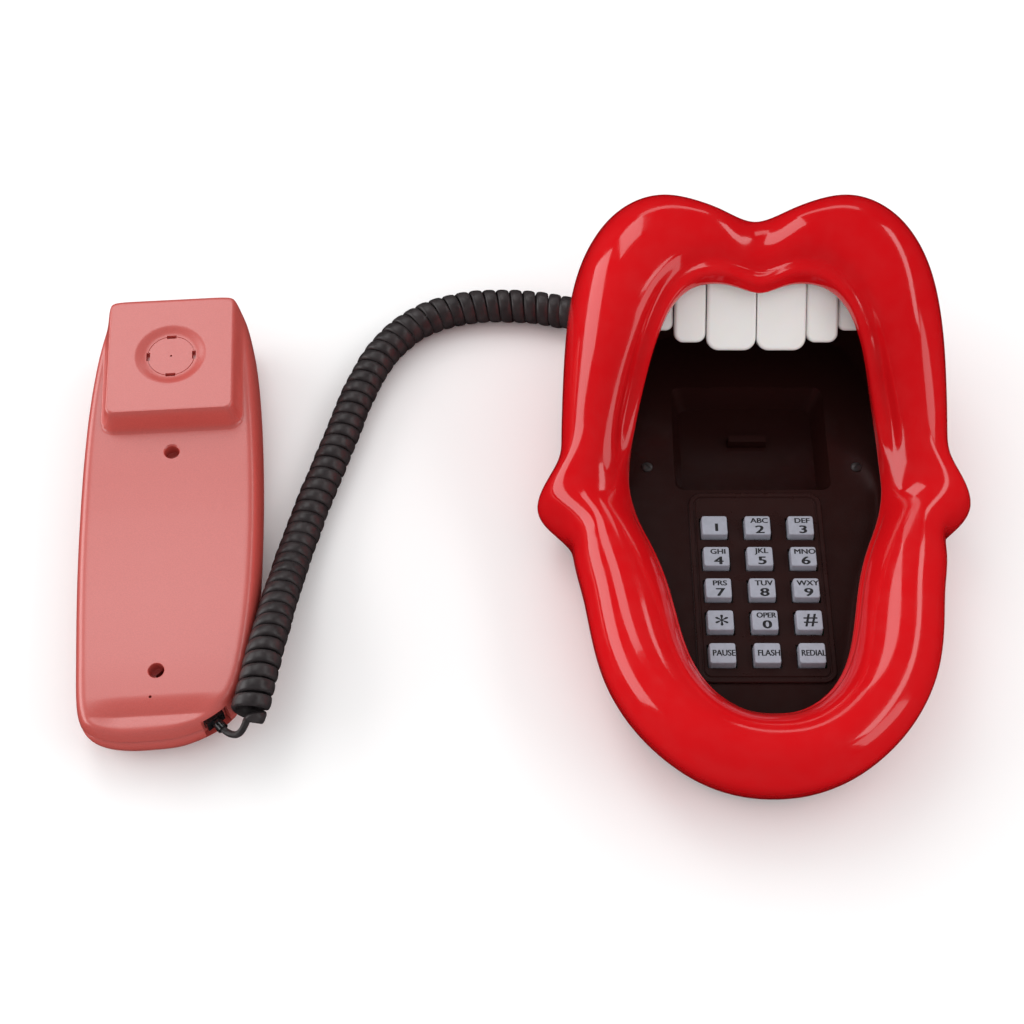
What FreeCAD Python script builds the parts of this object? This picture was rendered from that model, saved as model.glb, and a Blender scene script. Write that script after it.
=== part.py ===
import FreeCAD, Part
import math
import os

import Sketcher
from FreeCAD import Placement, Rotation, Vector

# Novelty telephone: a base shaped as an open mouth with a keypad on its floor, and a tongue-shaped
# handset lying beside it, joined to it by a curly cord. Millimetres, +Z up. The row frame stands on the
# supporting surface, midway along and across the base and handset together.

# ---------------------------------------------------------------- driving dimensions
DIMENSIONS = [
    # where the base and the handset stand
    ("base_x", 90.03, "base's mid-plane"),
    ("base_y", 15.85, "zero of the base's own Y"),
    ("handset_x", -137.12, "handset's mid-line"),
    ("handset_y", 16.05, "zero of the handset's own Y"),
    ("handset_turn", 3.6, "handset's turn about Z, degrees"),
    # lips
    ("lips_half_width", 84.5, "to the point of a mouth corner"),
    ("lips_top_y", 100.0, "furthest point of the upper lip"),
    ("lips_bottom_y", 132.0, "nearest point of the lower lip"),
    ("lips_height", 94.0, "crest of the upper lip"),
    ("lips_wall", 2.4, "wall of the moulding"),
    ("foot_height", 2.0, "rubber feet"),
    ("shell_gap", 1.0, "from the base plate's underside to the lips' foot"),
    ("plate_thickness", 2.5, "base plate"),
    # mouth floor
    ("floor_z", 25.0, "top of the mouth floor"),
    ("floor_thickness", 2.5, "mouth panel wall"),
    ("recess_width", 61.0, "cradle recess across, at the floor"),
    ("recess_far_y", 43.5, "cradle recess, far edge"),
    ("recess_near_y", -4.5, "cradle recess, near edge"),
    ("recess_depth", 10.0, "cradle recess"),
    ("recess_draft", 4.0, "how far each recess wall leans in"),
    ("recess_corner", 4.0, "rounding of the recess's upright corners"),
    # keypad
    ("key_pitch_across", 16.5, "column to column"),
    ("key_pitch_along", 13.5, "row to row"),
    ("key_width", 10.3, "cap across"),
    ("key_depth", 8.9, "cap along"),
    ("key_top_z", 29.0, "top of a key at rest"),
    ("key_foot_z", 22.5, "underside of a key at rest"),
    ("key_flange_z", 23.5, "underside of a key's flange"),
    ("key_flange_thickness", 1.3, "key flange"),
    ("key_flange_margin", 1.0, "flange beyond the cap"),
    ("key_edge_radius", 0.7, "cap's rounded top edge"),
    ("key_clearance", 0.35, "cap to bezel, each side"),
    ("keypad_middle_y", -49.5, "middle row"),
    ("bezel_width", 51.0, "keypad bezel across"),
    ("bezel_far_y", -6.5, "keypad bezel, far edge"),
    ("bezel_near_y", -87.0, "keypad bezel, near edge"),
    ("bezel_thickness", 1.0, "keypad bezel"),
    ("membrane_thickness", 1.6, "rubber keypad membrane"),
    ("board_thickness", 1.6, "circuit boards"),
    # teeth
    ("tooth_width", 19.2, "central incisor"),
    ("tooth_side_width", 12.5, "lateral incisor"),
    ("tooth_end_width", 10.0, "outer tooth"),
    ("tooth_thickness", 6.0, "teeth, front to back"),
    ("tooth_tilt", 52.0, "teeth leaning out from upright, degrees"),
    # hook switch
    ("hook_width", 15.0, "hook tab across"),
    ("hook_thickness", 3.0, "hook tab, front to back"),
    ("hook_rise", 4.0, "hook tab above the recess floor"),
    ("hook_y", 23.0, "hook tab"),
    ("hook_foot", 1.2, "thickness of the foot that holds the tab in"),
    # handset
    ("handset_length", 189.6, "handset, end to end"),
    ("handset_width", 71.1, "handset at its widest"),
    ("handset_part_z", 13.0, "joint between cover and back"),
    ("handset_wall", 2.2, "handset walls"),
    ("ear_block_z", 37.0, "face of the ear block"),
    ("ear_block_half_width", 25.5, "ear block's face"),
    ("ear_dish_radius", 14.0, "shallow dish round the ear slots"),
    ("ear_disc_radius", 9.5, "disc inside the ear slots"),
    # cord
    ("coil_diameter", 14.0, "curly cord across its turns"),
    ("tail_diameter", 2.6, "cord between plug and coil"),
    ("plug_width", 7.6, "modular plug across"),
    ("plug_height", 6.0, "modular plug, top to bottom"),
    ("plug_length", 16.5, "modular plug, tip to neck"),
    ("plug_depth", 10.5, "how deep a plug sits in its jack"),
    ("jack_width", 10.4, "cord jacks, outside"),
    ("jack_height", 11.0, "cord jacks, outside"),
    ("jack_depth", 12.6, "all jacks, front to back"),
    ("line_jack_width", 15.0, "line jack, outside"),
    ("line_jack_height", 12.0, "line jack, outside"),
    ("cord_socket_width", 8.0, "socket for a four-way handset plug"),
    ("cord_socket_height", 6.4, "socket for a four-way handset plug"),
    ("line_socket_width", 9.9, "socket for a six-way line plug"),
    ("line_socket_height", 7.2, "socket for a six-way line plug"),
    ("socket_depth", 11.0, "all sockets"),
]
FIT = 0.3           # gap between neighbouring mouldings
HAIR = 0.02         # gap where two faces would only touch

# Stations round the mouth, from the middle of the upper lip to the middle of the lower lip. Each one:
# outer bulge (x, y, z), inner edge (x, y, z), crest height, how far the foot is set in from the bulge.
LIP_STATIONS = [
    ((0.0, 89.0, 60.0), (0.0, 50.5, 77.5), 89.0, 2.0),
    ((17.0, 94.2, 60.0), (12.5, 55.0, 78.0), 91.6, 2.0),
    ((37.0, 100.0, 59.0), (24.0, 54.5, 77.0), 94.0, 2.0),
    ((54.0, 94.5, 58.0), (32.0, 48.5, 74.0), 93.5, 2.0),
    ((65.0, 81.0, 57.0), (36.5, 42.0, 69.0), 91.0, 2.5),
    ((71.0, 64.0, 55.0), (39.8, 35.0, 62.0), 86.0, 3.0),
    ((73.5, 46.0, 51.0), (42.7, 27.5, 52.0), 77.5, 3.0),
    ((74.5, 30.0, 44.0), (45.3, 19.0, 42.0), 67.0, 3.5),
    ((75.0, 15.0, 36.0), (47.3, 9.5, 34.5), 56.0, 4.0),
    ((77.5, 2.5, 28.0), (48.4, 0.0, 30.0), 47.5, 6.0),
    ((84.5, -11.0, 19.0), (48.0, -10.0, 29.5), 42.0, 12.0),
    ((74.5, -23.0, 21.0), (45.0, -22.0, 29.5), 42.0, 7.0),
    ((70.8, -37.0, 27.0), (40.0, -34.5, 30.0), 44.0, 7.0),
    ((68.0, -52.0, 29.0), (35.8, -48.0, 30.5), 45.5, 8.0),
    ((65.5, -68.0, 30.0), (32.9, -62.0, 31.0), 46.5, 9.0),
    ((61.5, -85.0, 30.0), (30.0, -75.0, 31.0), 47.0, 9.0),
    ((54.0, -100.5, 30.0), (25.6, -86.2, 31.5), 47.0, 9.5),
    ((43.5, -113.5, 30.0), (19.4, -94.6, 32.0), 47.0, 10.0),
    ((30.0, -124.0, 30.0), (12.2, -99.8, 32.0), 47.0, 10.0),
    ((15.0, -130.2, 30.0), (5.8, -101.9, 32.0), 47.0, 10.0),
    ((0.0, -132.0, 30.0), (0.0, -102.3, 32.0), 47.0, 10.0),
]
# Section of the lip, from the bulge over the crest to the inner edge: share of the way in from the bulge,
# share of the rise from the bulge to the crest, share of the drop from the crest to the inner edge.
LIP_SECTION = [(0.00, 0.00, 0.00), (0.06, 0.46, 0.00), (0.17, 0.78, 0.00), (0.35, 0.96, 0.00),
               (0.55, 1.00, 0.04), (0.74, 1.00, 0.22), (0.88, 1.00, 0.50), (0.97, 1.00, 0.80),
               (1.00, 1.00, 1.00)]
HEM_SHARE = 0.06            # the hem turns back under the lip by this share of its width
HEM_DROP = 2.5              # and lies this far below the inner edge
PANEL_SHARE = 0.37          # the mouth panel reaches this share of the lip's width under the lip

# Key labels, row by row from the far side, as node names.
KEY_ROWS = [("1", "2", "3"), ("4", "5", "6"), ("7", "8", "9"), ("star", "0", "hash"),
            ("pause", "flash", "redial")]

# The handset's outline at the joint between cover and back, once round from the middle of the mouthpiece
# end: across and along the handset.
HANDSET_OUTLINE = [(-4.0, -108.4), (4.0, -107.8), (11.0, -105.8), (17.5, -102.6), (24.0, -97.0), (28.4, -88.5),
                   (31.0, -76.0), (33.2, -56.0), (34.4, -30.0), (34.7, 0.0), (33.9, 30.0), (31.9, 56.0),
                   (29.5, 71.0), (28.0, 76.8), (24.8, 80.3), (17.0, 81.2), (0.0, 81.2), (-17.0, 81.2),
                   (-24.8, 80.3), (-28.0, 76.8), (-29.5, 71.0), (-32.6, 56.0), (-35.2, 30.0), (-36.4, 0.0),
                   (-36.4, -30.0), (-35.5, -56.0), (-34.4, -76.0), (-33.4, -91.0), (-31.0, -100.6),
                   (-25.0, -106.2), (-14.5, -108.4)]
# The face of the cover lengthwise: distance along, height.
FACE_PROFILE = [(-112.0, 17.0), (-105.0, 22.0), (-96.0, 25.2), (-80.0, 25.4), (-45.0, 23.8), (-15.0, 24.0),
                (10.0, 26.2), (30.0, 28.4), (85.0, 30.5)]

# Curly cord's route, as corners of straight runs in the row frame, and the bend of the tail beyond it.
CORD_ROUTE = [(20.0, 109.5, 7.1), (2.5, 113.1, 7.1), (-18.5, 113.3, 7.1), (-36.7, 108.9, 7.1),
              (-50.8, 99.2, 7.1), (-60.4, 85.7, 7.1), (-67.9, 67.7, 7.1), (-74.9, 42.7, 7.1),
              (-82.8, 17.7, 7.1), (-89.2, -8.3, 8.8), (-92.6, -32.3, 17.0), (-95.2, -53.3, 22.8),
              (-97.3, -67.8, 24.4), (-99.4, -81.3, 23.8)]
HANDSET_TAIL_BEND = (-102.6, -89.4, 20.0)
TAIL_STRAIGHT = 3.0         # how far a tail runs straight out of its plug

# Screws and feet: spots in the base's frame, heights in the row frame.
SCREW_RADIUS = 1.6
SCREW_HEAD_RADIUS = 3.0
SCREW_HEAD_HEIGHT = 1.8
SLOT_LENGTH = 4.4
SLOT_WIDTH = 0.8
SCREW_FIT = 0.05            # radial gap between a screw and its bore
BOSS_RADIUS = 3.2
BASE_SCREW_TIP = 12.4
PANEL_SCREW_TIP = 17.0
BOARD_SCREW_TIP = 23.6
BASE_SCREW_SPOTS = [(40.0, 46.0), (-40.0, 46.0), (37.0, -64.0), (-37.0, -64.0)]
FOOT_SPOTS = [(50.0, 72.0), (-42.0, 66.0), (45.0, -80.0), (-45.0, -80.0)]
FOOT_RADIUS = 6.0
FOOT_RECESS = 0.6
PANEL_SCREW_SPOTS = [(41.0, 6.0), (-41.0, 6.0)]
WINDOW_MARGIN = 2.0         # the bezel overlaps the window in the mouth floor by this much
BOARD_SCREW_SPOTS = [(-25.8, -82.0), (25.8, -82.0), (-25.8, -17.0), (25.8, -17.0)]
BOARD_UNDERSIDE = 17.38
PAD_HEIGHT = 0.3

# Jacks: middle of the front face in the frame of the base or the handset, turn about Z of the way out,
# and which of the sheet's sizes each one takes.
JACKS = {
    "line_jack": {"face": (20.0, 92.0, 12.0), "turn": 90.0, "outside": "line_jack", "socket": "line_socket"},
    "base_cord_jack": {"face": (-55.0, 86.5, 10.8), "turn": 160.0, "outside": "jack", "socket": "cord_socket"},
    "handset_jack": {"face": (16.9, -98.4, 16.4), "turn": -50.0, "outside": "jack", "socket": "cord_socket"},
}
OPENING_DEPTH = 40.0        # how far the opening for a jack cuts through a wall

# Each pair of teeth from the middle outwards: width, how far it stands back, length.
TEETH = [("tooth_width", 0.0, 21.5), ("tooth_side_width", 1.0, 18.5), ("tooth_end_width", 2.6, 14.0)]
TOOTH_ROUNDING = 2.0
TEETH_TOP = (55.0, 72.0)            # y and z of the teeth's upper edge, hidden behind the lip

# Hook spring.
SPRING_RADIUS = 2.6
SPRING_WIRE = 0.3
SPRING_TURNS = 4

# Handset: levels of the cover and of the back as (inset of the outline, height), and spots on its mid-line.
COVER_LEVELS = [(0.0, 13.0), (1.2, 17.0), (3.6, 22.0), (6.0, 27.0), (10.0, 36.0)]
BACK_LEVELS = [(0.0, 12.9), (1.0, 9.0), (3.6, 5.0), (8.0, 1.8), (13.0, 0.0)]
EAR_BLOCK_NEAR = 24.4        # near edge of the ear block's face
EAR_BLOCK_FAR = 80.6
EAR_BLOCK_FOOT = 20.0        # height where its walls end, inside the cover
EAR_BLOCK_RUNS = {"near": 4.8, "side": 1.8}     # how far each wall leans out down to its foot
EAR_BLOCK_CORNER = 3.2
WELL_SPOTS = [(0.0, 12.0), (-3.0, -82.0)]
WELL_RADIUS = 3.1
WELL_FLOOR = 8.0            # height of the floor of each well, where a screw's head sits
WELL_POST_TOP = 6.3         # height of the posts in the back that take the screws
MIC_SPOT = (-4.8, -92.5)
MIC_FOOT = 15.0             # height of the microphone boot's underside
MIC_BOOT_WALL = 1.2
EAR_Y = 51.5
EAR_SLOTS = 4
WEIGHT_BAR = ("22", "48", "5")
WEIGHT_PLATE = ("56", "46", "6")
RINGER_SPOT = (-14.0, 69.0)

doc = FreeCAD.newDocument("telephone")
sheet = doc.addObject("Spreadsheet::Sheet", "dims")
nodes = {}


def fill_sheet():
    for row, (alias, value, note) in enumerate(DIMENSIONS, start=1):
        sheet.set(f"A{row}", note)
        sheet.set(f"B{row}", str(value))
        sheet.setAlias(f"B{row}", alias)
    doc.recompute()


def size(alias):
    return float(sheet.get(alias))


def keep(item, name, place=None):
    """Label a finished sub-part, put it in its place and list it as a node."""
    item.Label = name
    if place is not None:
        item.Placement = place
    nodes[name] = item
    return item


def keep_shape(name, shape, place):
    """A sub-part whose shape is worked out in code."""
    feature = doc.addObject("Part::Feature", name)
    feature.Shape = shape
    return keep(feature, name, place * shape.Placement)


def base_place():
    return Placement(Vector(size("base_x"), size("base_y"), 0), Rotation())


def handset_place():
    turn = Rotation(Vector(0, 0, 1), size("handset_turn"))
    return Placement(Vector(size("handset_x"), size("handset_y"), 0), turn)


# ---------------------------------------------------------------- general builders
def bind(item, **expressions):
    """Bind properties of an object to expressions over the sheet; x, y and z stand for its place."""
    places = {"x": "Placement.Base.x", "y": "Placement.Base.y", "z": "Placement.Base.z"}
    for name, expression in expressions.items():
        item.setExpression(places.get(name, name), str(expression))
    return item


def block(name, length, width, height, x=None, y=None, z="0"):
    """Part::Box with its sizes and low corner as expressions; x and y are left out where it is centred."""
    item = doc.addObject("Part::Box", name)
    x = f"-({length}) / 2" if x is None else x
    y = f"-({width}) / 2" if y is None else y
    return bind(item, Length=length, Width=width, Height=height, x=x, y=y, z=z)


def rod(name, radius, height, x="0", y="0", z="0"):
    """Upright Part::Cylinder with its sizes and foot as expressions."""
    item = doc.addObject("Part::Cylinder", name)
    return bind(item, Radius=radius, Height=height, x=x, y=y, z=z)


def cut(name, base, *tools):
    for number, tool in enumerate(tools):
        result = doc.addObject("Part::Cut", f"{name}_cut_{number}")
        result.Base = base
        result.Tool = tool
        base = result
    return base


def fuse(name, *pieces):
    result = doc.addObject("Part::MultiFuse", name)
    result.Shapes = list(pieces)
    return result


def group(name, *pieces):
    result = doc.addObject("Part::Compound", name)
    result.Links = list(pieces)
    return result


def origin_plane(body, role):
    return next(plane for plane in body.Origin.OriginFeatures if plane.Role == role)


def sketch_on(body, name, role="XY_Plane", height=None):
    sketch = body.newObject("Sketcher::SketchObject", name)
    sketch.AttachmentSupport = (origin_plane(body, role), [""])
    sketch.MapMode = "FlatFace"
    if height is not None:
        sketch.setExpression("AttachmentOffset.Base.z", height)
    return sketch


def add_rectangle(sketch, width, depth):
    """A rectangle about the sketch's origin, its width and depth bound to expressions."""
    corners = [Vector(i, j, 0) for i, j in ((-1, -1), (1, -1), (1, 1), (-1, 1))]
    for n in range(4):
        sketch.addGeometry(Part.LineSegment(corners[n], corners[(n + 1) % 4]), False)
    for n in range(4):
        sketch.addConstraint(Sketcher.Constraint("Coincident", n, 2, (n + 1) % 4, 1))
    for n in (0, 2):
        sketch.addConstraint(Sketcher.Constraint("Horizontal", n))
        sketch.addConstraint(Sketcher.Constraint("Vertical", n + 1))
    sketch.addConstraint(Sketcher.Constraint("Symmetric", 0, 1, 1, 2, -1, 1))
    sketch.addConstraint(Sketcher.Constraint("DistanceX", 0, 1, 0, 2, 2.0))
    sketch.renameConstraint(sketch.ConstraintCount - 1, "width")
    sketch.addConstraint(Sketcher.Constraint("DistanceY", 1, 1, 1, 2, 2.0))
    sketch.renameConstraint(sketch.ConstraintCount - 1, "depth")
    bind(sketch, **{"Constraints.width": width, "Constraints.depth": depth})


def pad(body, name, sketch, length):
    feature = body.newObject("PartDesign::Pad", name)
    feature.Profile = sketch
    return bind(feature, Length=length)


def closed_curve(points):
    """A closed smooth curve through points, one unit of its parameter between neighbours."""
    curve = Part.BSplineCurve()
    curve.interpolate(Points=[Vector(*p) for p in points], PeriodicFlag=True,
                      Parameters=[float(n) for n in range(len(points) + 1)])
    return curve


def closed_wire(points):
    return Part.Wire([closed_curve(points).toShape()])


def skin(rings):
    """Smooth surface along closed rings: it starts on the first, ends on the last and is drawn towards
    each ring between them, so it never swings out beyond them."""
    curves = [closed_curve(ring) for ring in rings]
    degree = min(3, len(rings) - 1)
    spans = len(rings) - degree
    knots = [float(n) for n in range(spans + 1)]
    multiplicities = [degree + 1] + [1] * (spans - 1) + [degree + 1]
    poles = [list(row) for row in zip(*[curve.getPoles() for curve in curves])]
    surface = Part.BSplineSurface()
    surface.buildFromPolesMultsKnots(poles, curves[0].getMultiplicities(), multiplicities,
                                     curves[0].getKnots(), knots, True, False, 3, degree)
    return surface.toShape()


def solid_from(faces):
    """Closed solid from surfaces that share their edges."""
    shell = Part.makeShell([face for item in faces for face in item.Faces])
    shell.sewShape()
    solid = Part.makeSolid(shell)
    if solid.Volume < 0:
        solid.reverse()
    return solid


# ---------------------------------------------------------------- lips
def lip_scale():
    """Shares of the nominal station sizes that the sheet's sizes ask for."""
    widest = max(outer[0] for outer, inner, crest, inset in LIP_STATIONS)
    far = max(outer[1] for outer, inner, crest, inset in LIP_STATIONS)
    near = -min(outer[1] for outer, inner, crest, inset in LIP_STATIONS)
    crest_z = max(crest for outer, inner, crest, inset in LIP_STATIONS)
    return (size("lips_half_width") / widest, size("lips_top_y") / far,
            size("lips_bottom_y") / near, size("lips_height") / crest_z)


def lip_stations():
    """All stations round the mouth, scaled to the sheet, the left half mirrored from the right."""
    across, far, near, up = lip_scale()

    def scaled(point):
        along = far if point[1] > 0 else near
        return Vector(point[0] * across, point[1] * along, point[2] * up)

    right = [(scaled(outer), scaled(inner), crest * up, inset) for outer, inner, crest, inset in LIP_STATIONS]
    left = [(Vector(-outer.x, outer.y, outer.z), Vector(-inner.x, inner.y, inner.z), crest, inset)
            for outer, inner, crest, inset in right[-2:0:-1]]
    return right + left


def hem_point(outer, inner):
    point = inner + (outer - inner) * HEM_SHARE
    point.z = max(inner.z - HEM_DROP, size("floor_z") + size("bezel_thickness") + FIT)
    return point


def lip_section(station):
    """Points of one section, from the foot outside, over the crest, to the hem inside."""
    outer, inner, crest, inset = station
    way = inner - outer
    way.z = 0
    inward = Vector(way).normalize()
    foot_z = size("foot_height") + size("shell_gap")
    foot = outer + inward * inset
    foot.z = foot_z
    low = outer + inward * inset * 0.38
    low.z = foot_z + (outer.z - foot_z) * 0.42
    points = [foot, low]
    for share, rise, drop in LIP_SECTION:
        point = outer + way * share
        point.z = outer.z + (crest - outer.z) * rise - (crest - inner.z) * drop
        points.append(point)
    points.append(hem_point(outer, inner))
    return points


def inward_offset(rings, wall):
    """The same rings moved by the wall thickness to the surface's inner side."""
    count = len(rings[0])
    moved = []
    for r, ring in enumerate(rings):
        below = rings[max(r - 1, 0)]
        above = rings[min(r + 1, len(rings) - 1)]
        line = []
        for n, point in enumerate(ring):
            along = ring[(n + 1) % count] - ring[n - 1]
            up = above[n] - below[n]
            line.append(point + along.cross(up).normalize() * wall)
        moved.append(line)
    return moved


def sharpened(rings):
    """Rings moved out a little, so that a skin drawn towards them passes through where they were."""
    moved = [rings[0]]
    for below, ring, above in zip(rings, rings[1:], rings[2:]):
        moved.append([point + (point - (low + high) * 0.5) * (1 / 3)
                      for low, point, high in zip(below, ring, above)])
    return moved + [rings[-1]]


def lips_rings():
    sections = [lip_section(station) for station in lip_stations()]
    return sharpened([list(ring) for ring in zip(*sections)])


def jack_opening(jack):
    """The opening in a wall round a jack: a box turned to the jack's direction."""
    width = size(jack["outside"] + "_width") + 2 * FIT
    height = size(jack["outside"] + "_height") + 2 * FIT
    tool = Part.makeBox(OPENING_DEPTH, width, height, Vector(-OPENING_DEPTH / 2, -width / 2, -height / 2))
    tool.Placement = jack_place(jack)
    return tool


def jack_place(jack):
    return Placement(Vector(*jack["face"]), Rotation(Vector(0, 0, 1), jack["turn"]))


def build_lips():
    outer = lips_rings()
    inner = inward_offset(outer, size("lips_wall"))
    foot_z = outer[0][0].z
    for point in inner[0]:
        point.z = foot_z
    shell = solid_from([skin(outer), skin(inner), skin([outer[0], inner[0]]), skin([outer[-1], inner[-1]])])
    for name in ("line_jack", "base_cord_jack"):
        shell = shell.cut(jack_opening(JACKS[name]))
    keep_shape("lips_shell", shell, base_place())
    return inner[0]


def flat_plate(ring, low_z, thickness):
    """A plate with a smooth closed outline."""
    points = [Vector(p.x, p.y, low_z) for p in ring]
    return Part.Face(closed_wire(points)).extrude(Vector(0, 0, thickness))


def with_boss(shape, spot, low_z, high_z, hole_low_z, hole_high_z):
    """The shape with an upright post at a spot, bored for a screw."""
    x, y = spot
    post = Part.makeCylinder(BOSS_RADIUS, high_z - low_z, Vector(x, y, low_z))
    bore = Part.makeCylinder(SCREW_RADIUS + SCREW_FIT, hole_high_z - hole_low_z, Vector(x, y, hole_low_z))
    return shape.fuse(post).cut(bore)


def build_base_plate(foot_ring):
    """The black plate that closes the base from below, just inside the lips' foot. The two posts take
    the screws that hold the mouth panel."""
    low = size("foot_height")
    inside = inward_offset([foot_ring, [p + Vector(0, 0, 1) for p in foot_ring]], FIT)[0]
    plate = flat_plate(inside, low, size("plate_thickness"))
    for x, y in BASE_SCREW_SPOTS:
        plate = plate.cut(Part.makeCylinder(SCREW_RADIUS + FIT, 10, Vector(x, y, 0)))
        plate = plate.cut(Part.makeCylinder(SCREW_HEAD_RADIUS + FIT, SCREW_HEAD_HEIGHT - 0.6, Vector(x, y, low)))
    for x, y in FOOT_SPOTS:
        plate = plate.cut(Part.makeCylinder(FOOT_RADIUS, FOOT_RECESS, Vector(x, y, low)))
    plate_top = low + size("plate_thickness")
    under_panel = size("floor_z") - size("floor_thickness") - HAIR
    for spot in PANEL_SCREW_SPOTS:
        plate = with_boss(plate, spot, plate_top - HAIR, under_panel, PANEL_SCREW_TIP - FIT, under_panel + FIT)
    keep_shape("base_plate", plate, base_place())


def build_base_fixings():
    """Rubber feet and the screws that hold the base plate, each a group of separate solids."""
    low = size("foot_height")
    feet = []
    screws = []
    for x, y in FOOT_SPOTS:
        foot = Part.makeCylinder(FOOT_RADIUS, low + FOOT_RECESS, Vector(x, y, 0))
        foot = foot.makeChamfer(0.6, [foot.Edges[2]])
        feet.append(foot)
    for x, y in BASE_SCREW_SPOTS:
        head = Part.makeCylinder(SCREW_HEAD_RADIUS, SCREW_HEAD_HEIGHT - 0.6, Vector(x, y, low))
        shank = Part.makeCylinder(SCREW_RADIUS, BASE_SCREW_TIP - low - 0.4, Vector(x, y, low + 0.4))
        slot = Part.makeBox(SLOT_LENGTH, SLOT_WIDTH, 0.7, Vector(x - SLOT_LENGTH / 2, y - SLOT_WIDTH / 2, low))
        screws.append(head.fuse(shank).cut(slot))
    keep_shape("rubber_feet", Part.makeCompound(feet), base_place())
    keep_shape("base_screws", Part.makeCompound(screws), base_place())


def panel_ring(share, z_rule):
    """Closed ring of points under the lip, with the height worked out from each hem."""
    ring = []
    for outer, inner, crest, inset in lip_stations():
        point = inner + (outer - inner) * share
        point.z = z_rule(hem_point(outer, inner).z)
        ring.append(point)
    return ring


def rounded_frame(half, near, far, radius, z):
    """A level rectangle with rounded corners, as a wire."""
    corners = [(half - radius, far - radius), (radius - half, far - radius),
               (radius - half, near + radius), (half - radius, near + radius)]
    arcs = []
    for n, (x, y) in enumerate(corners):
        spots = [Vector(x + radius * math.cos(angle), y + radius * math.sin(angle), z)
                 for angle in (math.radians(90 * n + part) for part in (0, 45, 90))]
        arcs.append(Part.Arc(*spots).toShape())
    edges = []
    for arc, following in zip(arcs, arcs[1:] + arcs[:1]):
        line = Part.makeLine(arc.Vertexes[-1].Point, following.Vertexes[0].Point)
        edges += [arc, line]
    return Part.Wire(edges)


def recess_block(grow, low_z, high_z):
    """The cradle recess as a solid: narrower at its floor than at the mouth floor, its corners rounded."""
    half = size("recess_width") / 2 + grow
    near, far = size("recess_near_y") - grow, size("recess_far_y") + grow
    lean = size("recess_draft") * (high_z - low_z) / size("recess_depth")
    radius = size("recess_corner") + grow
    low = rounded_frame(half - lean, near + lean, far - lean, radius, low_z)
    high = rounded_frame(half, near, far, radius, high_z)
    return Part.makeLoft([low, high], True, True)


def build_mouth_panel():
    """The dark mouth floor: a plate whose rim climbs behind the lips, with the cradle recess let into it."""
    floor = size("floor_z")
    wall = size("floor_thickness")
    underside = floor - wall
    gap = 0.4

    def rim(hem_z):
        return max(hem_z - gap, floor + 0.8)

    low = panel_ring(PANEL_SHARE, lambda hem_z: underside)
    top = panel_ring(PANEL_SHARE, rim)
    rings = [low, top]
    inside = inward_offset([top, low], -wall)
    top_inside, low_inside = inside
    for ring, target in ((top_inside, top), (low_inside, None)):
        for n, point in enumerate(ring):
            point.z = target[n].z if target else floor
    faces = [skin(rings), skin([top, top_inside]), skin([top_inside, low_inside]),
             Part.Face(closed_wire(low_inside)), Part.Face(closed_wire(low))]
    panel = solid_from(faces)
    depth = size("recess_depth")
    panel = panel.fuse(recess_block(wall, floor - depth - wall, underside + HAIR))
    panel = panel.cut(recess_block(0.0, floor - depth, floor + HAIR))
    half = size("bezel_width") / 2 - WINDOW_MARGIN
    far, near = size("bezel_far_y") - 6.0, size("bezel_near_y") + 3.5
    panel = panel.cut(Part.makeBox(2 * half, far - near, wall * 2, Vector(-half, near, underside - wall / 2)))
    slot_x, slot_y = size("hook_width") + 2 * FIT, size("hook_thickness") + 2 * FIT
    panel = panel.cut(Part.makeBox(slot_x, slot_y, depth * 2,
                                   Vector(-slot_x / 2, size("hook_y") - slot_y / 2, floor - depth * 2)))
    for x, y in PANEL_SCREW_SPOTS:
        panel = panel.cut(Part.makeCylinder(SCREW_RADIUS + FIT, wall * 2, Vector(x, y, underside - wall / 2)))
    plate_top = size("foot_height") + size("plate_thickness")
    for spot in BASE_SCREW_SPOTS:
        panel = with_boss(panel, spot, plate_top + HAIR, underside + HAIR, plate_top, BASE_SCREW_TIP + FIT)
    board_top = BOARD_UNDERSIDE + size("board_thickness")
    for spot in BOARD_SCREW_SPOTS:
        panel = with_boss(panel, spot, board_top + HAIR, underside + HAIR, board_top, BOARD_SCREW_TIP + FIT)
    keep_shape("mouth_panel", panel, base_place())


def build_panel_screws():
    screws = []
    for x, y in PANEL_SCREW_SPOTS:
        head = Part.makeCylinder(SCREW_HEAD_RADIUS, SCREW_HEAD_HEIGHT, Vector(x, y, size("floor_z")))
        shank_length = size("floor_z") + 1.0 - PANEL_SCREW_TIP
        shank = Part.makeCylinder(SCREW_RADIUS, shank_length, Vector(x, y, PANEL_SCREW_TIP))
        slot_foot = Vector(x - SLOT_LENGTH / 2, y - SLOT_WIDTH / 2, size("floor_z") + SCREW_HEAD_HEIGHT - 0.9)
        slot = Part.makeBox(SLOT_LENGTH, SLOT_WIDTH, 0.9, slot_foot)
        screws.append(head.fuse(shank).cut(slot))
    keep_shape("panel_screws", Part.makeCompound(screws), base_place())


# ---------------------------------------------------------------- keypad
def key_spot(row, column):
    """Middle of a key in the base's frame."""
    x = (column - 1) * size("key_pitch_across")
    y = size("keypad_middle_y") + (2 - row) * size("key_pitch_along")
    return x, y


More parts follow.
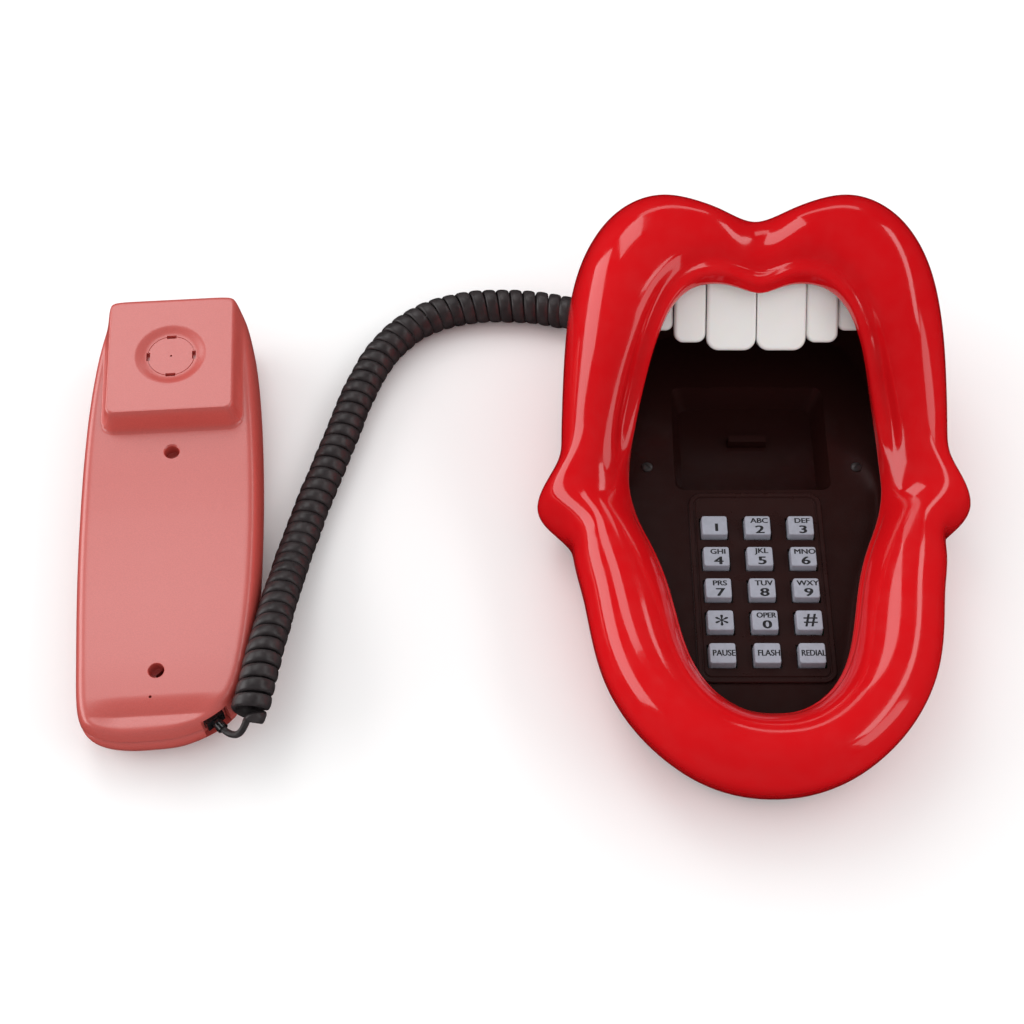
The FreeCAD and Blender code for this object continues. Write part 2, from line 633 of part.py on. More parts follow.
def build_key(name, x, y):
    """A cap on a wider flange, which the bezel holds down."""
    body = doc.addObject("PartDesign::Body", name)
    margin = "2 * dims.key_flange_margin"
    flange = sketch_on(body, f"{name}_flange_sketch", height="dims.key_flange_z")
    add_rectangle(flange, f"dims.key_width + {margin}", f"dims.key_depth + {margin}")
    pad(body, f"{name}_flange", flange, "dims.key_flange_thickness")
    cap = sketch_on(body, f"{name}_cap_sketch", height="dims.key_foot_z")
    add_rectangle(cap, "dims.key_width", "dims.key_depth")
    raised = pad(body, f"{name}_cap", cap, "dims.key_top_z - dims.key_foot_z")
    doc.recompute()
    top = raised.Shape.BoundBox.ZMax
    edges = [f"Edge{n + 1}" for n, edge in enumerate(raised.Shape.Edges)
             if min(v.Point.z for v in edge.Vertexes) > top - HAIR]
    rounded = body.newObject("PartDesign::Fillet", f"{name}_edges")
    rounded.Base = (raised, edges)
    bind(rounded, Radius="dims.key_edge_radius")
    keep(body, name, base_place() * Placement(Vector(x, y, 0), Rotation()))


def build_keys():
    for row, labels in enumerate(KEY_ROWS):
        for column, label in enumerate(labels):
            build_key(f"key_{label}", *key_spot(row, column))


def build_bezel():
    """Thin plate round the keys, with an aperture for each."""
    top = "dims.floor_z"
    plate = block("bezel_plate", "dims.bezel_width", "dims.bezel_far_y - dims.bezel_near_y",
                  "dims.bezel_thickness", y="dims.bezel_near_y", z=top)
    doc.recompute()
    rounded = doc.addObject("Part::Fillet", "bezel_corners")
    rounded.Base = plate
    near, far = 15.0, 4.0
    uprights = [(n + 1, near if edge.CenterOfMass.y < size("keypad_middle_y") else far)
                for n, edge in enumerate(plate.Shape.Edges)
                if abs(edge.Vertexes[0].Point.z - edge.Vertexes[-1].Point.z) > HAIR]
    rounded.Edges = [(n, radius, radius) for n, radius in uprights]
    apertures = []
    for row, labels in enumerate(KEY_ROWS):
        for column, label in enumerate(labels):
            gap = "2 * dims.key_clearance"
            apertures.append(block(
                f"aperture_{label}", f"dims.key_width + {gap}", f"dims.key_depth + {gap}",
                "3 * dims.bezel_thickness",
                x=f"{column - 1} * dims.key_pitch_across - (dims.key_width + {gap}) / 2",
                y=f"dims.keypad_middle_y + {2 - row} * dims.key_pitch_along - (dims.key_depth + {gap}) / 2",
                z=f"{top} - dims.bezel_thickness"))
    bezel = cut("keypad_bezel", rounded, fuse("key_apertures", *apertures))
    keep(bezel, "keypad_bezel", base_place())


def build_boards():
    """Rubber membrane under the keys and the main circuit board under it, with its screws."""
    across, along = "3 * dims.key_pitch_across - 6.5", "5 * dims.key_pitch_along + 2"
    middle = "dims.keypad_middle_y"
    gap = 1.9
    membrane_top = f"dims.key_foot_z - {gap}"
    membrane = block("membrane_sheet", across, along, "dims.membrane_thickness",
                     y=f"{middle} - ({along}) / 2", z=f"{membrane_top} - dims.membrane_thickness")
    keep(fuse("membrane", membrane, *membrane_pads(membrane_top)), "keypad_membrane", base_place())
    board_top = f"{membrane_top} - dims.membrane_thickness - {HAIR}"
    board = block("board", "58", "72", "dims.board_thickness", y=f"{middle} - 36",
                  z=f"{board_top} - dims.board_thickness")
    holes = [rod(f"board_hole_{n}", SCREW_RADIUS + HAIR * 2, "10", x=x, y=y, z=10)
             for n, (x, y) in enumerate(BOARD_SCREW_SPOTS)]
    keep(cut("main_board", board, *holes), "main_board", base_place())
    screws = []
    for x, y in BOARD_SCREW_SPOTS:
        head = Part.makeCylinder(2.6, 1.4, Vector(x, y, BOARD_UNDERSIDE - 1.4 - HAIR))
        foot = Vector(x, y, BOARD_UNDERSIDE - 1.4 - HAIR)
        screws.append(head.fuse(Part.makeCylinder(SCREW_RADIUS, BOARD_SCREW_TIP - foot.z, foot)))
    keep_shape("board_screws", Part.makeCompound(screws), base_place())


def membrane_pads(membrane_top):
    """A low raised pad of rubber under each key, clear of the key at the end of its travel."""
    pads = []
    for row, labels in enumerate(KEY_ROWS):
        for column, label in enumerate(labels):
            x, y = key_spot(row, column)
            pads.append(rod(f"pad_{label}", "3", PAD_HEIGHT + 0.2, x=x, y=y, z=f"{membrane_top} - 0.2"))
    return pads


# ---------------------------------------------------------------- teeth
def build_teeth():
    """One white moulding: six rounded teeth on a bar, leaning out over the mouth floor."""
    lean = Rotation(Vector(1, 0, 0), -size("tooth_tilt"))
    thick = size("tooth_thickness")
    reach = 0.0
    shapes = []
    for alias, back, length in TEETH:
        width = size(alias)
        middle = reach + width / 2
        for side in (-1, 1):
            low = Vector(side * middle - width / 2 + HAIR, back, -length)
            tooth = Part.makeBox(width - 2 * HAIR, thick, length, low)
            lower = [edge for edge in tooth.Edges if edge.CenterOfMass.z < -HAIR]
            shapes.append(tooth.makeFillet(TOOTH_ROUNDING, lower))
        reach = middle + width / 2
    bar_half = reach - 1.0
    bar = Part.makeBox(2 * bar_half, thick - 2.0, 8.0, Vector(-bar_half, 2.6, -7.0))
    teeth = bar.multiFuse(shapes)
    place = base_place() * Placement(Vector(0, TEETH_TOP[0], TEETH_TOP[1]), lean)
    keep_shape("upper_teeth", teeth, place)


# ---------------------------------------------------------------- hook switch, ringer, weight, jacks
def build_hook():
    """The tab that the handset presses down, the spring under it and the switch beside its foot."""
    plate_top = "dims.foot_height + dims.plate_thickness"
    recess_floor = "dims.floor_z - dims.recess_depth"
    under = f"{recess_floor} - dims.floor_thickness"
    foot_z = f"{under} - dims.hook_foot - {HAIR}"
    tab = block("hook_tab", "dims.hook_width", "dims.hook_thickness",
                "dims.hook_rise + dims.floor_thickness + dims.hook_foot",
                y="dims.hook_y - dims.hook_thickness / 2", z=foot_z)
    foot = block("hook_foot", "dims.hook_width + 4", "12.5", "dims.hook_foot", y="dims.hook_y - 3.5", z=foot_z)
    keep(fuse("hook_plunger", tab, foot), "hook_plunger", base_place())
    bottom = size("foot_height") + size("plate_thickness") + HAIR
    top = size("floor_z") - size("recess_depth") - size("floor_thickness") - size("hook_foot") - 2 * HAIR
    height = top - bottom - SPRING_WIRE * 2
    helix = Part.makeHelix(height / SPRING_TURNS, height, SPRING_RADIUS)
    start = helix.Edges[0].Vertexes[0].Point
    tangent = helix.Edges[0].tangentAt(helix.Edges[0].FirstParameter)
    section = Part.Wire([Part.makeCircle(SPRING_WIRE, start, tangent)])
    coil = Part.Wire(helix.Edges).makePipeShell([section], True, True)
    coil.translate(Vector(0, size("hook_y"), bottom + SPRING_WIRE))
    keep_shape("hook_spring", coil, base_place())
    switch = block("switch_case", "13", "6", "3", x="-6.5", y="dims.hook_y + 5", z=f"{plate_top} + {HAIR}")
    button = block("switch_button", "2", "2", "0.9", x="-1", y="dims.hook_y + 6",
                   z=f"{plate_top} + 2.8 + {HAIR}")
    keep(fuse("hook_switch", switch, button), "hook_switch", base_place())


def build_ringer():
    """Round sounder on the base plate behind the cradle recess."""
    z = f"dims.foot_height + dims.plate_thickness + {HAIR}"
    x, y = RINGER_SPOT
    can = rod("ringer_can", 11.0, 9.0, x=x, y=y, z=z)
    hole = rod("ringer_hole", 1.5, 4.0, x=x, y=y, z=f"{z} + 6")
    keep(cut("ringer", can, hole), "ringer", base_place())


def build_weight():
    """Steel plate that keeps the base down, under the circuit board."""
    z = f"dims.foot_height + dims.plate_thickness + {HAIR}"
    plate = block("weight_plate", *WEIGHT_PLATE, y="dims.keypad_middle_y - 26", z=z)
    keep(group("weight", plate), "ballast_weight", base_place())


def build_jack(name, place):
    """A socket block, its front face at its own zero, with a cavity for a modular plug."""
    jack = JACKS[name]
    width, height = f"dims.{jack['outside']}_width", f"dims.{jack['outside']}_height"
    mouth, rise = f"dims.{jack['socket']}_width", f"dims.{jack['socket']}_height"
    body = block(f"{name}_body", "dims.jack_depth", width, height, x="-dims.jack_depth", z=f"-({height}) / 2")
    socket = block(f"{name}_socket", "dims.socket_depth + 1", mouth, rise, x="-dims.socket_depth",
                   z=f"-({rise}) / 2")
    keep(cut(name, body, socket), name, place * jack_place(jack))


def build_plug(name, jack_name, place):
    """Four-way modular plug seated in its jack, with the short neck that the cord leaves by."""
    neck = 4.0
    length = f"dims.plug_length - {neck}"
    depth = "dims.plug_depth"
    body = block(f"{name}_body", length, "dims.plug_width", "dims.plug_height", x=f"-{depth}",
                 z="-dims.plug_height / 2")
    latch = block(f"{name}_latch", "7", "3", "0.8", x="-6", z="-dims.plug_height / 2 - 0.15")
    sleeve = doc.addObject("Part::Cylinder", f"{name}_neck")
    bind(sleeve, Radius="dims.tail_diameter / 2 + 0.8", Height=f"{neck} + 1",
         x=f"dims.plug_length - {depth} - {neck} - 1")
    sleeve.Placement.Rotation = Rotation(Vector(0, 1, 0), 90)
    keep(fuse(name, body, latch, sleeve), name, place * jack_place(JACKS[jack_name]))


# ---------------------------------------------------------------- handset
def outline_ring(inset, z):
    """The handset's outline at a height, every side drawn in by an inset."""
    xs, ys = zip(*HANDSET_OUTLINE)
    middle_x, middle_y = (min(xs) + max(xs)) / 2, (min(ys) + max(ys)) / 2
    across = (size("handset_width") - 2 * inset) / (max(xs) - min(xs))
    along = (size("handset_length") - 2 * inset) / (max(ys) - min(ys))
    return [Vector(middle_x + (x - middle_x) * across, middle_y + (y - middle_y) * along, z)
            for x, y in HANDSET_OUTLINE]


def lofted(levels, grow):
    """Solid through outlines at several heights; each level is (inset, height)."""
    rings = [outline_ring(inset + grow, z) for inset, z in levels]
    ends = [Part.Face(closed_wire(ring)) for ring in (rings[0], rings[-1])]
    return solid_from([skin(rings)] + ends)


def under_face(drop, floor_z):
    """Block below the cover's face curve, lowered by a drop, down to a height."""
    curve = Part.BSplineCurve()
    curve.interpolate([Vector(-60, y, z - drop) for y, z in FACE_PROFILE])
    first, last = curve.StartPoint, curve.EndPoint
    low = [Vector(-60, last.y, floor_z), Vector(-60, first.y, floor_z)]
    edges = [curve.toShape(), Part.makeLine(last, low[0]), Part.makeLine(low[0], low[1]),
             Part.makeLine(low[1], first)]
    return Part.Face(Part.Wire(edges)).extrude(Vector(120, 0, 0))


def ear_block(grow):
    """The raised block round the earpiece: steep near wall, sloping sides, rounded upright corners."""
    half = size("ear_block_half_width") - grow
    top = size("ear_block_z") - grow
    drop = size("ear_block_z") - EAR_BLOCK_FOOT
    rows = []
    for share in (0.0, 1.0):
        near = EAR_BLOCK_NEAR - share * EAR_BLOCK_RUNS["near"] + grow
        far = EAR_BLOCK_FAR - grow
        side = half + share * EAR_BLOCK_RUNS["side"]
        slab = Part.makePlane(2 * side, far - near, Vector(-side, near, top - share * drop))
        rows.append(Part.Wire(slab.Wires[0].Edges))
    block = Part.makeLoft(rows[::-1], True, True)
    upright = [edge for edge in block.Edges if edge.BoundBox.ZLength > drop / 2]
    return block.makeFillet(EAR_BLOCK_CORNER - grow, upright)


def cover_form(grow, floor_z):
    levels = [(inset, z) for inset, z in COVER_LEVELS]
    if grow > 0:
        levels[0] = (levels[0][0], floor_z)
    body = lofted(levels, grow).common(under_face(grow, floor_z - 1.0))
    return body.fuse(ear_block(grow))


def build_handset_cover():
    """Inner side of the handset: face, ear block, ear slots, screw wells, mic hole, plug notch."""
    wall = size("handset_wall")
    part_z = size("handset_part_z")
    cover = cover_form(0.0, part_z).cut(cover_form(wall, part_z - 1.0))
    for x, y in WELL_SPOTS:
        post = Part.makeCylinder(WELL_RADIUS + 1.6, 14.0, Vector(x, y, WELL_FLOOR - 1.6))
        cover = cover.fuse(post)
        cover = cover.cut(Part.makeCylinder(WELL_RADIUS, 30.0, Vector(x, y, WELL_FLOOR)))
        cover = cover.cut(Part.makeCylinder(SCREW_RADIUS + HAIR * 2, 30.0, Vector(x, y, WELL_FLOOR - 10)))
    top = size("ear_block_z")
    dish = Part.makeCone(size("ear_disc_radius"), size("ear_dish_radius"), 1.2, Vector(0, EAR_Y, top - 1.2))
    cover = cover.cut(dish)
    for n in range(EAR_SLOTS):
        slot = Part.makeBox(4.2, 1.5, 6.0, Vector(-2.1, size("ear_disc_radius") - 1.5, top - 5.0))
        slot.translate(Vector(0, EAR_Y, 0))
        slot.rotate(Vector(0, EAR_Y, 0), Vector(0, 0, 1), 360 / EAR_SLOTS * n)
        cover = cover.cut(slot)
    cover = cover.cut(Part.makeCylinder(0.5, 6.0, Vector(0, EAR_Y, top - 5.0)))
    cover = cover.cut(Part.makeCylinder(0.7, 10.0, Vector(*MIC_SPOT, 20.0)))
    cover = cover.cut(jack_opening(JACKS["handset_jack"]))
    keep_shape("handset_cover", largest(cover), handset_place())


def largest(shape):
    return max(shape.Solids, key=lambda solid: solid.Volume)


def build_handset_back():
    """Outer side of the handset, which lies on the supporting surface."""
    wall = size("handset_wall")
    outside = lofted(BACK_LEVELS, 0.0)
    inside_levels = [(inset, z + wall if n else z + 1.0) for n, (inset, z) in enumerate(BACK_LEVELS)]
    back = outside.cut(lofted(inside_levels, wall))
    for x, y in WELL_SPOTS:
        back = back.fuse(Part.makeCylinder(3.4, WELL_POST_TOP - wall / 2, Vector(x, y, wall / 2)))
        back = back.cut(Part.makeCylinder(SCREW_RADIUS - 0.2, WELL_POST_TOP, Vector(x, y, wall + 0.5)))
    back = back.cut(jack_opening(JACKS["handset_jack"]))
    keep_shape("handset_back", largest(back), handset_place())


def build_handset_screws():
    screws = []
    for x, y in WELL_SPOTS:
        head = Part.makeCylinder(2.7, 1.8, Vector(x, y, WELL_FLOOR + HAIR))
        shank = Part.makeCylinder(SCREW_RADIUS - 0.25, 6.0, Vector(x, y, WELL_FLOOR - 5.0))
        cross = Part.makeBox(3.4, 0.8, 1.0, Vector(x - 1.7, y - 0.4, WELL_FLOOR + 1.0))
        other = cross.copy()
        other.rotate(Vector(x, y, 0), Vector(0, 0, 1), 90)
        screws.append(head.fuse(shank).cut(cross).cut(other))
    keep_shape("handset_screws", Part.makeCompound(screws), handset_place())


def build_handset_insides():
    """Ear speaker in its foam ring, microphone in its rubber boot, and a weight."""
    under_ear = size("ear_block_z") - size("handset_wall")
    ring_height, speaker_height = 1.6, 6.0
    ring = rod("ring_outside", 13.0, ring_height, y=EAR_Y, z=under_ear - ring_height - HAIR)
    ring_hole = rod("ring_inside", 10.5, 3 * ring_height, y=EAR_Y, z=under_ear - 2 * ring_height)
    keep(cut("ear_gasket", ring, ring_hole), "ear_gasket", handset_place())
    speaker_z = under_ear - ring_height - speaker_height - 2 * HAIR
    speaker = fuse("speaker_parts", rod("speaker_frame", 13.0, 2.4, y=EAR_Y, z=speaker_z + 3.6),
                   rod("speaker_magnet", 8.0, 4.0, y=EAR_Y, z=speaker_z))
    keep(speaker, "ear_speaker", handset_place())
    mic_x, mic_y = MIC_SPOT
    boot = rod("boot_outside", 4.0, 7.0, x=mic_x, y=mic_y, z=MIC_FOOT)
    boot_hole = rod("boot_inside", 3.02, 8.0, x=mic_x, y=mic_y, z=MIC_FOOT + MIC_BOOT_WALL)
    keep(cut("mic_boot", boot, boot_hole), "mic_boot", handset_place())
    capsule = rod("capsule_can", 3.0, 5.6, x=mic_x, y=mic_y, z=MIC_FOOT + MIC_BOOT_WALL + HAIR)
    keep(group("capsule", capsule), "mic_capsule", handset_place())
    bar = block("weight_bar", *WEIGHT_BAR, y="-40", z=f"dims.handset_wall + {HAIR}")
    keep(group("bar", bar), "handset_weight", handset_place())


# ---------------------------------------------------------------- cord
def cord_path(points, name):
    """Straight runs joined by tangent arcs, each arc as large as its two runs allow."""
    points = [Vector(*p) for p in points]
    edges = []
    start = points[0]
    for before, corner, after in zip(points, points[1:], points[2:]):
        back = (before - corner).normalize()
        ahead = (after - corner).normalize()
        half_turn = (math.pi - back.getAngle(ahead)) / 2
        reach = 0.45 * min(before.distanceToPoint(corner), after.distanceToPoint(corner))
        radius = reach / math.tan(half_turn)
        first, last = corner + back * reach, corner + ahead * reach
        to_middle = (back + ahead).normalize()
        middle = corner + to_middle * (radius / math.cos(half_turn) - radius)
        print(f"{name}: turn {math.degrees(2 * half_turn):.0f} degrees, radius {radius:.1f} mm")
        edges.append(Part.LineSegment(start, first).toShape())
        edges.append(Part.Arc(first, middle, last).toShape())
        start = last
    edges.append(Part.LineSegment(start, points[-1]).toShape())
    return Part.Wire(edges)


def cord_tube(name, points, diameter):
    path = cord_path(points, name)
    direction = Vector(*points[1]) - Vector(*points[0])
    section = Part.Wire([Part.makeCircle(diameter / 2, Vector(*points[0]), direction)])
    tube = path.makePipeShell([section], True, False)
    expected = math.pi * diameter ** 2 / 4 * path.Length
    print(f"{name}: length {path.Length:.1f} mm, volume {tube.Volume:.0f} of {expected:.0f} mm3")
    keep_shape(name, tube, Placement())
    return tube


def plug_end(jack_name, place):
    """Where the cord leaves a plug, and the way it points, in the row frame."""
    spot = place * jack_place(JACKS[jack_name])
    reach = size("plug_length") - size("plug_depth")
    return spot.multVec(Vector(reach, 0, 0)), spot.Rotation.multVec(Vector(1, 0, 0))


def build_cord():
    """The curly cord as one fat tube, and the short plain tail between each plug and the coil."""
    cord_tube("curly_cord", CORD_ROUTE, size("coil_diameter"))
    base_end, base_way = plug_end("base_cord_jack", base_place())
    tail = [base_end + base_way * HAIR, base_end + base_way * TAIL_STRAIGHT, Vector(*CORD_ROUTE[0])]
    cord_tube("base_tail", [tuple(p) for p in tail], size("tail_diameter"))
    hand_end, hand_way = plug_end("handset_jack", handset_place())
    tail = [hand_end + hand_way * HAIR, hand_end + hand_way * TAIL_STRAIGHT, Vector(*HANDSET_TAIL_BEND),
            Vector(*CORD_ROUTE[-1])]
    cord_tube("handset_tail", [tuple(p) for p in tail], size("tail_diameter"))
    build_plug("base_plug", "base_cord_jack", base_place())
    build_plug("handset_plug", "handset_jack", handset_place())


# ---------------------------------------------------------------- the whole telephone
def build_all():
    fill_sheet()
    foot_ring = build_lips()
    build_base_plate(foot_ring)
    build_base_fixings()
    build_mouth_panel()
    build_panel_screws()
    build_bezel()
    build_keys()
    build_boards()
    build_teeth()
    build_hook()
    build_ringer()
    build_weight()
    build_jack("line_jack", base_place())
    build_jack("base_cord_jack", base_place())
    build_handset_cover()
    build_handset_back()
    build_handset_screws()
    build_handset_insides()
    build_jack("handset_jack", handset_place())
    build_cord()


def check_all():
    for item in doc.Objects:
        if "Invalid" in item.State or "Error" in item.State:
            raise RuntimeError(f"{item.Name} failed: {item.State}")
    for name, item in nodes.items():
        if item.Shape.isNull() or not item.Shape.isValid() or not item.Shape.Solids:
            raise RuntimeError(f"{name} has no valid solid")


def export_all():
    os.makedirs("parts", exist_ok=True)
    for name, item in nodes.items():
        item.Shape.exportStep(f"parts/{name}.step")


build_all()
doc.recompute()
check_all()
export_all()
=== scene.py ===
import math

import bmesh
import bpy
import numpy as np
from mathutils import Matrix, Vector


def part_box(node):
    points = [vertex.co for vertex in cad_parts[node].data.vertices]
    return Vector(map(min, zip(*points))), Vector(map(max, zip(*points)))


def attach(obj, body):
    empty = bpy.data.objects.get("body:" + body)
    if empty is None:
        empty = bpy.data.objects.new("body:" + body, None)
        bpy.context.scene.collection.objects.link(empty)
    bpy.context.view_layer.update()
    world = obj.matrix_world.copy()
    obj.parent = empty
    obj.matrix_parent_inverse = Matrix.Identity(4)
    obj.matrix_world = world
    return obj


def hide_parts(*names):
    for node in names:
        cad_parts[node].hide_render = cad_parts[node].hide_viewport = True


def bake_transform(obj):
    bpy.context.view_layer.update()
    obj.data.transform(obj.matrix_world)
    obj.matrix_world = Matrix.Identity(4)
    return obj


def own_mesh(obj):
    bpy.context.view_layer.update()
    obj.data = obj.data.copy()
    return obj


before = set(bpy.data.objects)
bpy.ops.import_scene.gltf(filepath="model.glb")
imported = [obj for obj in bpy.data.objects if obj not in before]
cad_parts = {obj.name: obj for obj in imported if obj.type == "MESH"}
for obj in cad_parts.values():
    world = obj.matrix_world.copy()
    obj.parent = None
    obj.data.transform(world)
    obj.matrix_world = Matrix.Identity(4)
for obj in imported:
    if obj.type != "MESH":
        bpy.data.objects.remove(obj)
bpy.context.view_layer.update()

MM = 0.001


# ---- places read from the frame
def node_box(node):
    """The two corners of a CAD node's box, in metres."""
    low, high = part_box(node)
    return Vector(low), Vector(high)


def node_middle(node):
    low, high = node_box(node)
    return (low + high) * 0.5


def base_origin():
    """The base's own zero: its mid-plane, and 100 mm nearer than the furthest point of the upper lip."""
    low, high = node_box("lips_shell")
    return Vector(((low.x + high.x) / 2, high.y - LIPS_TOP_Y * MM, 0.0))


def handset_matrix():
    """The handset's own frame, from the microphone, which stands off the mid-line, and the ear speaker."""
    ear = node_middle("ear_gasket")
    mic = node_middle("mic_boot")
    along = ear - mic
    along.z = 0
    own_turn = math.atan2(MIC_X, EAR_Y - MIC_Y)
    turn = math.atan2(-along.x, along.y) - own_turn
    spin = Matrix.Rotation(turn, 4, "Z")
    origin = Vector((ear.x, ear.y, 0)) - spin @ Vector((0, EAR_Y * MM, 0))
    return Matrix.Translation(origin) @ spin


LIPS_TOP_Y = 100.0          # of the furthest point of the upper lip, in the base's own millimetres
EAR_Y = 51.5                # spots of the ear speaker and the microphone, in the handset's own millimetres
MIC_X = -4.8
MIC_Y = -92.5
# Jacks: the way out as an angle about Z from the X of the base or the handset, and the opening around
# each, in millimetres.
JACK_TURNS = {"line_jack": 90.0, "base_cord_jack": 160.0, "handset_jack": -50.0}
JACK_OPENINGS = {"line_jack": (15.6, 12.6), "base_cord_jack": (11.0, 11.6), "handset_jack": (11.0, 11.6)}
JACK_OPENING_DEPTH = 40.0
JACK_DEPTH = 12.6
PLUG_REACH = 6.0            # from the jack's face to where the wire leaves the plug
BASE = base_origin()
HANDSET = handset_matrix()
# From the base's and the handset's own millimetres to metres in the row frame.
BASE_PLACE = Matrix.Translation(BASE) @ Matrix.Scale(MM, 4)
HANDSET_PLACE = HANDSET @ Matrix.Scale(MM, 4)


def add_object(name, data):
    piece = bpy.data.objects.new(name, data)
    bpy.context.scene.collection.objects.link(piece)
    return piece


# ---- camera
CAMERA_AIM = Vector((-0.0040, 0.0159, 0.0))     # point of the floor in the middle of the view, in metres
CAMERA_DISTANCE = 0.729
CAMERA_ELEVATION = 60.0     # degrees above the floor, seen from the near side
CAMERA_LENS = 63.64
CAMERA_SENSOR = 36.0
CAMERA_CLIP = (0.05, 20.0)


def add_camera():
    data = bpy.data.cameras.new("camera")
    data.lens = CAMERA_LENS
    data.sensor_width = CAMERA_SENSOR
    data.clip_start, data.clip_end = CAMERA_CLIP
    camera = add_object("camera", data)
    elevation = math.radians(CAMERA_ELEVATION)
    back = Vector((0.0, -math.cos(elevation), math.sin(elevation)))
    camera.location = CAMERA_AIM + CAMERA_DISTANCE * back
    camera.rotation_euler = (math.pi / 2 - elevation, 0.0, 0.0)
    bpy.context.scene.camera = camera


# ---- smooth curves through points
def periodic_poles(points):
    """Poles of a closed uniform cubic curve that passes through the points."""
    count = len(points)
    matrix = np.eye(count) * 4 + np.roll(np.eye(count), 1, 0) + np.roll(np.eye(count), -1, 0)
    return np.linalg.solve(matrix / 6, np.asarray(points, float))


def periodic_samples(points, samples):
    """Points of the closed curve, at even steps of its parameter."""
    poles = periodic_poles(points)
    count = len(poles)
    place = np.arange(samples) * count / samples
    start = np.floor(place).astype(int)
    t = (place - start)[:, None]
    p = [poles[(start + k - 1) % count] for k in range(4)]
    return ((1 - t) ** 3 * p[0] + (3 * t ** 3 - 6 * t ** 2 + 4) * p[1]
            + (-3 * t ** 3 + 3 * t ** 2 + 3 * t + 1) * p[2] + t ** 3 * p[3]) / 6


def clamped_samples(poles, samples):
    """Points of a cubic curve that starts on the first pole and ends on the last, drawn to the rest."""
    poles = np.asarray(poles, float)
    spans = len(poles) - 3
    knots = np.concatenate([np.zeros(3), np.arange(spans + 1), np.full(3, spans)])
    result = []
    for place in np.linspace(0, spans, samples):
        span = min(int(place), spans - 1) + 3
        points = [poles[span - 3 + k].copy() for k in range(4)]
        for level in range(1, 4):
            for k in range(3, level - 1, -1):
                low = knots[span - 3 + k]
                high = knots[span + 1 + k - level]
                share = (place - low) / (high - low)
                points[k] = (1 - share) * points[k - 1] + share * points[k]
        result.append(points[3])
    return np.array(result)


def lengths_along(line):
    """How far along the line each of its points lies."""
    return np.concatenate([[0], np.cumsum(np.linalg.norm(np.diff(line, axis=0), axis=1))])


def points_at(line, places):
    """Points at the given distances along a line."""
    lengths = lengths_along(line)
    return np.stack([np.interp(places, lengths, values) for values in line.T], axis=1)


def unit(vectors):
    return vectors / np.linalg.norm(vectors, axis=-1, keepdims=True)


# ---- mesh helpers
def smooth_object(name, mesh, material):
    if material:
        mesh.materials.append(material)
    for face in mesh.polygons:
        face.use_smooth = True
    return add_object(name, mesh)


def mesh_object(name, vertices, faces, material=None):
    mesh = bpy.data.meshes.new(name)
    mesh.from_pydata([tuple(v) for v in vertices], [], faces)
    mesh.validate()
    return smooth_object(name, mesh, material)


def ring_faces(rows, count, closed=True):
    """Quads between rows of points, the same number in each."""
    faces = []
    last = count if closed else count - 1
    for r in range(rows - 1):
        for n in range(last):
            m = (n + 1) % count
            faces.append((r * count + n, r * count + m, (r + 1) * count + m, (r + 1) * count + n))
    return faces


def apply_modifiers(piece):
    """Makes the piece's modifiers part of its mesh."""
    depsgraph = bpy.context.evaluated_depsgraph_get()
    mesh = bpy.data.meshes.new_from_object(piece.evaluated_get(depsgraph))
    piece.modifiers.clear()
    piece.data = mesh
    return piece


def cut_away(piece, cutters):
    """Takes the cutters' volume out of the piece and deletes the cutters."""
    for number, cutter in enumerate(cutters):
        modifier = piece.modifiers.new(f"cut_{number}", "BOOLEAN")
        modifier.operation = "DIFFERENCE"
        modifier.solver = "EXACT"
        modifier.object = cutter
    apply_modifiers(piece)
    for cutter in cutters:
        bpy.data.objects.remove(cutter, do_unlink=True)
    return piece


def lathe(name, profile, segments, place):
    """Closed solid of revolution through (radius, height) points, which start and end on the axis."""
    vertices = []
    inner = profile[1:-1]
    for radius, height in inner:
        for n in range(segments):
            angle = 2 * math.pi * n / segments
            vertices.append(Vector((radius * math.cos(angle), radius * math.sin(angle), height)))
    faces = [tuple(reversed(face)) for face in ring_faces(len(inner), segments)]
    low = len(vertices)
    vertices.append(Vector((0, 0, profile[0][1])))
    high = len(vertices)
    vertices.append(Vector((0, 0, profile[-1][1])))
    top = (len(inner) - 1) * segments
    for n in range(segments):
        m = (n + 1) % segments
        faces.append((low, n, m))
        faces.append((high, top + m, top + n))
    vertices = [place @ v for v in vertices]
    piece = mesh_object(name, vertices, faces)
    recalculate(piece)
    return piece


def recalculate(piece):
    """Turns every face outwards."""
    work = bmesh.new()
    work.from_mesh(piece.data)
    bmesh.ops.recalc_face_normals(work, faces=work.faces)
    work.to_mesh(piece.data)
    work.free()


def from_bmesh(work, name, material=None):
    """Turns a bmesh into an object and frees it."""
    mesh = bpy.data.meshes.new(name)
    work.to_mesh(mesh)
    work.free()
    return smooth_object(name, mesh, material)


def joined(pieces, name, material):
    """One object made of several, which are deleted."""
    work = bmesh.new()
    for piece in pieces:
        work.from_mesh(piece.data)
        bpy.data.objects.remove(piece, do_unlink=True)
    return from_bmesh(work, name, material)


def block(size, middle=(0.0, 0.0, 0.0)):
    """A bmesh of a plain block."""
    work = bmesh.new()
    bmesh.ops.create_cube(work, size=1.0)
    bmesh.ops.scale(work, vec=Vector(size), verts=work.verts)
    bmesh.ops.translate(work, vec=Vector(middle), verts=work.verts)
    return work


def bevel(work, edges, width, segments, **options):
    bmesh.ops.bevel(work, geom=edges, offset=width, segments=segments, affect="EDGES",
                    **{"profile": 0.5, **options})


def box_piece(name, size, place):
    work = block(size)
    work.transform(place)
    return from_bmesh(work, name)


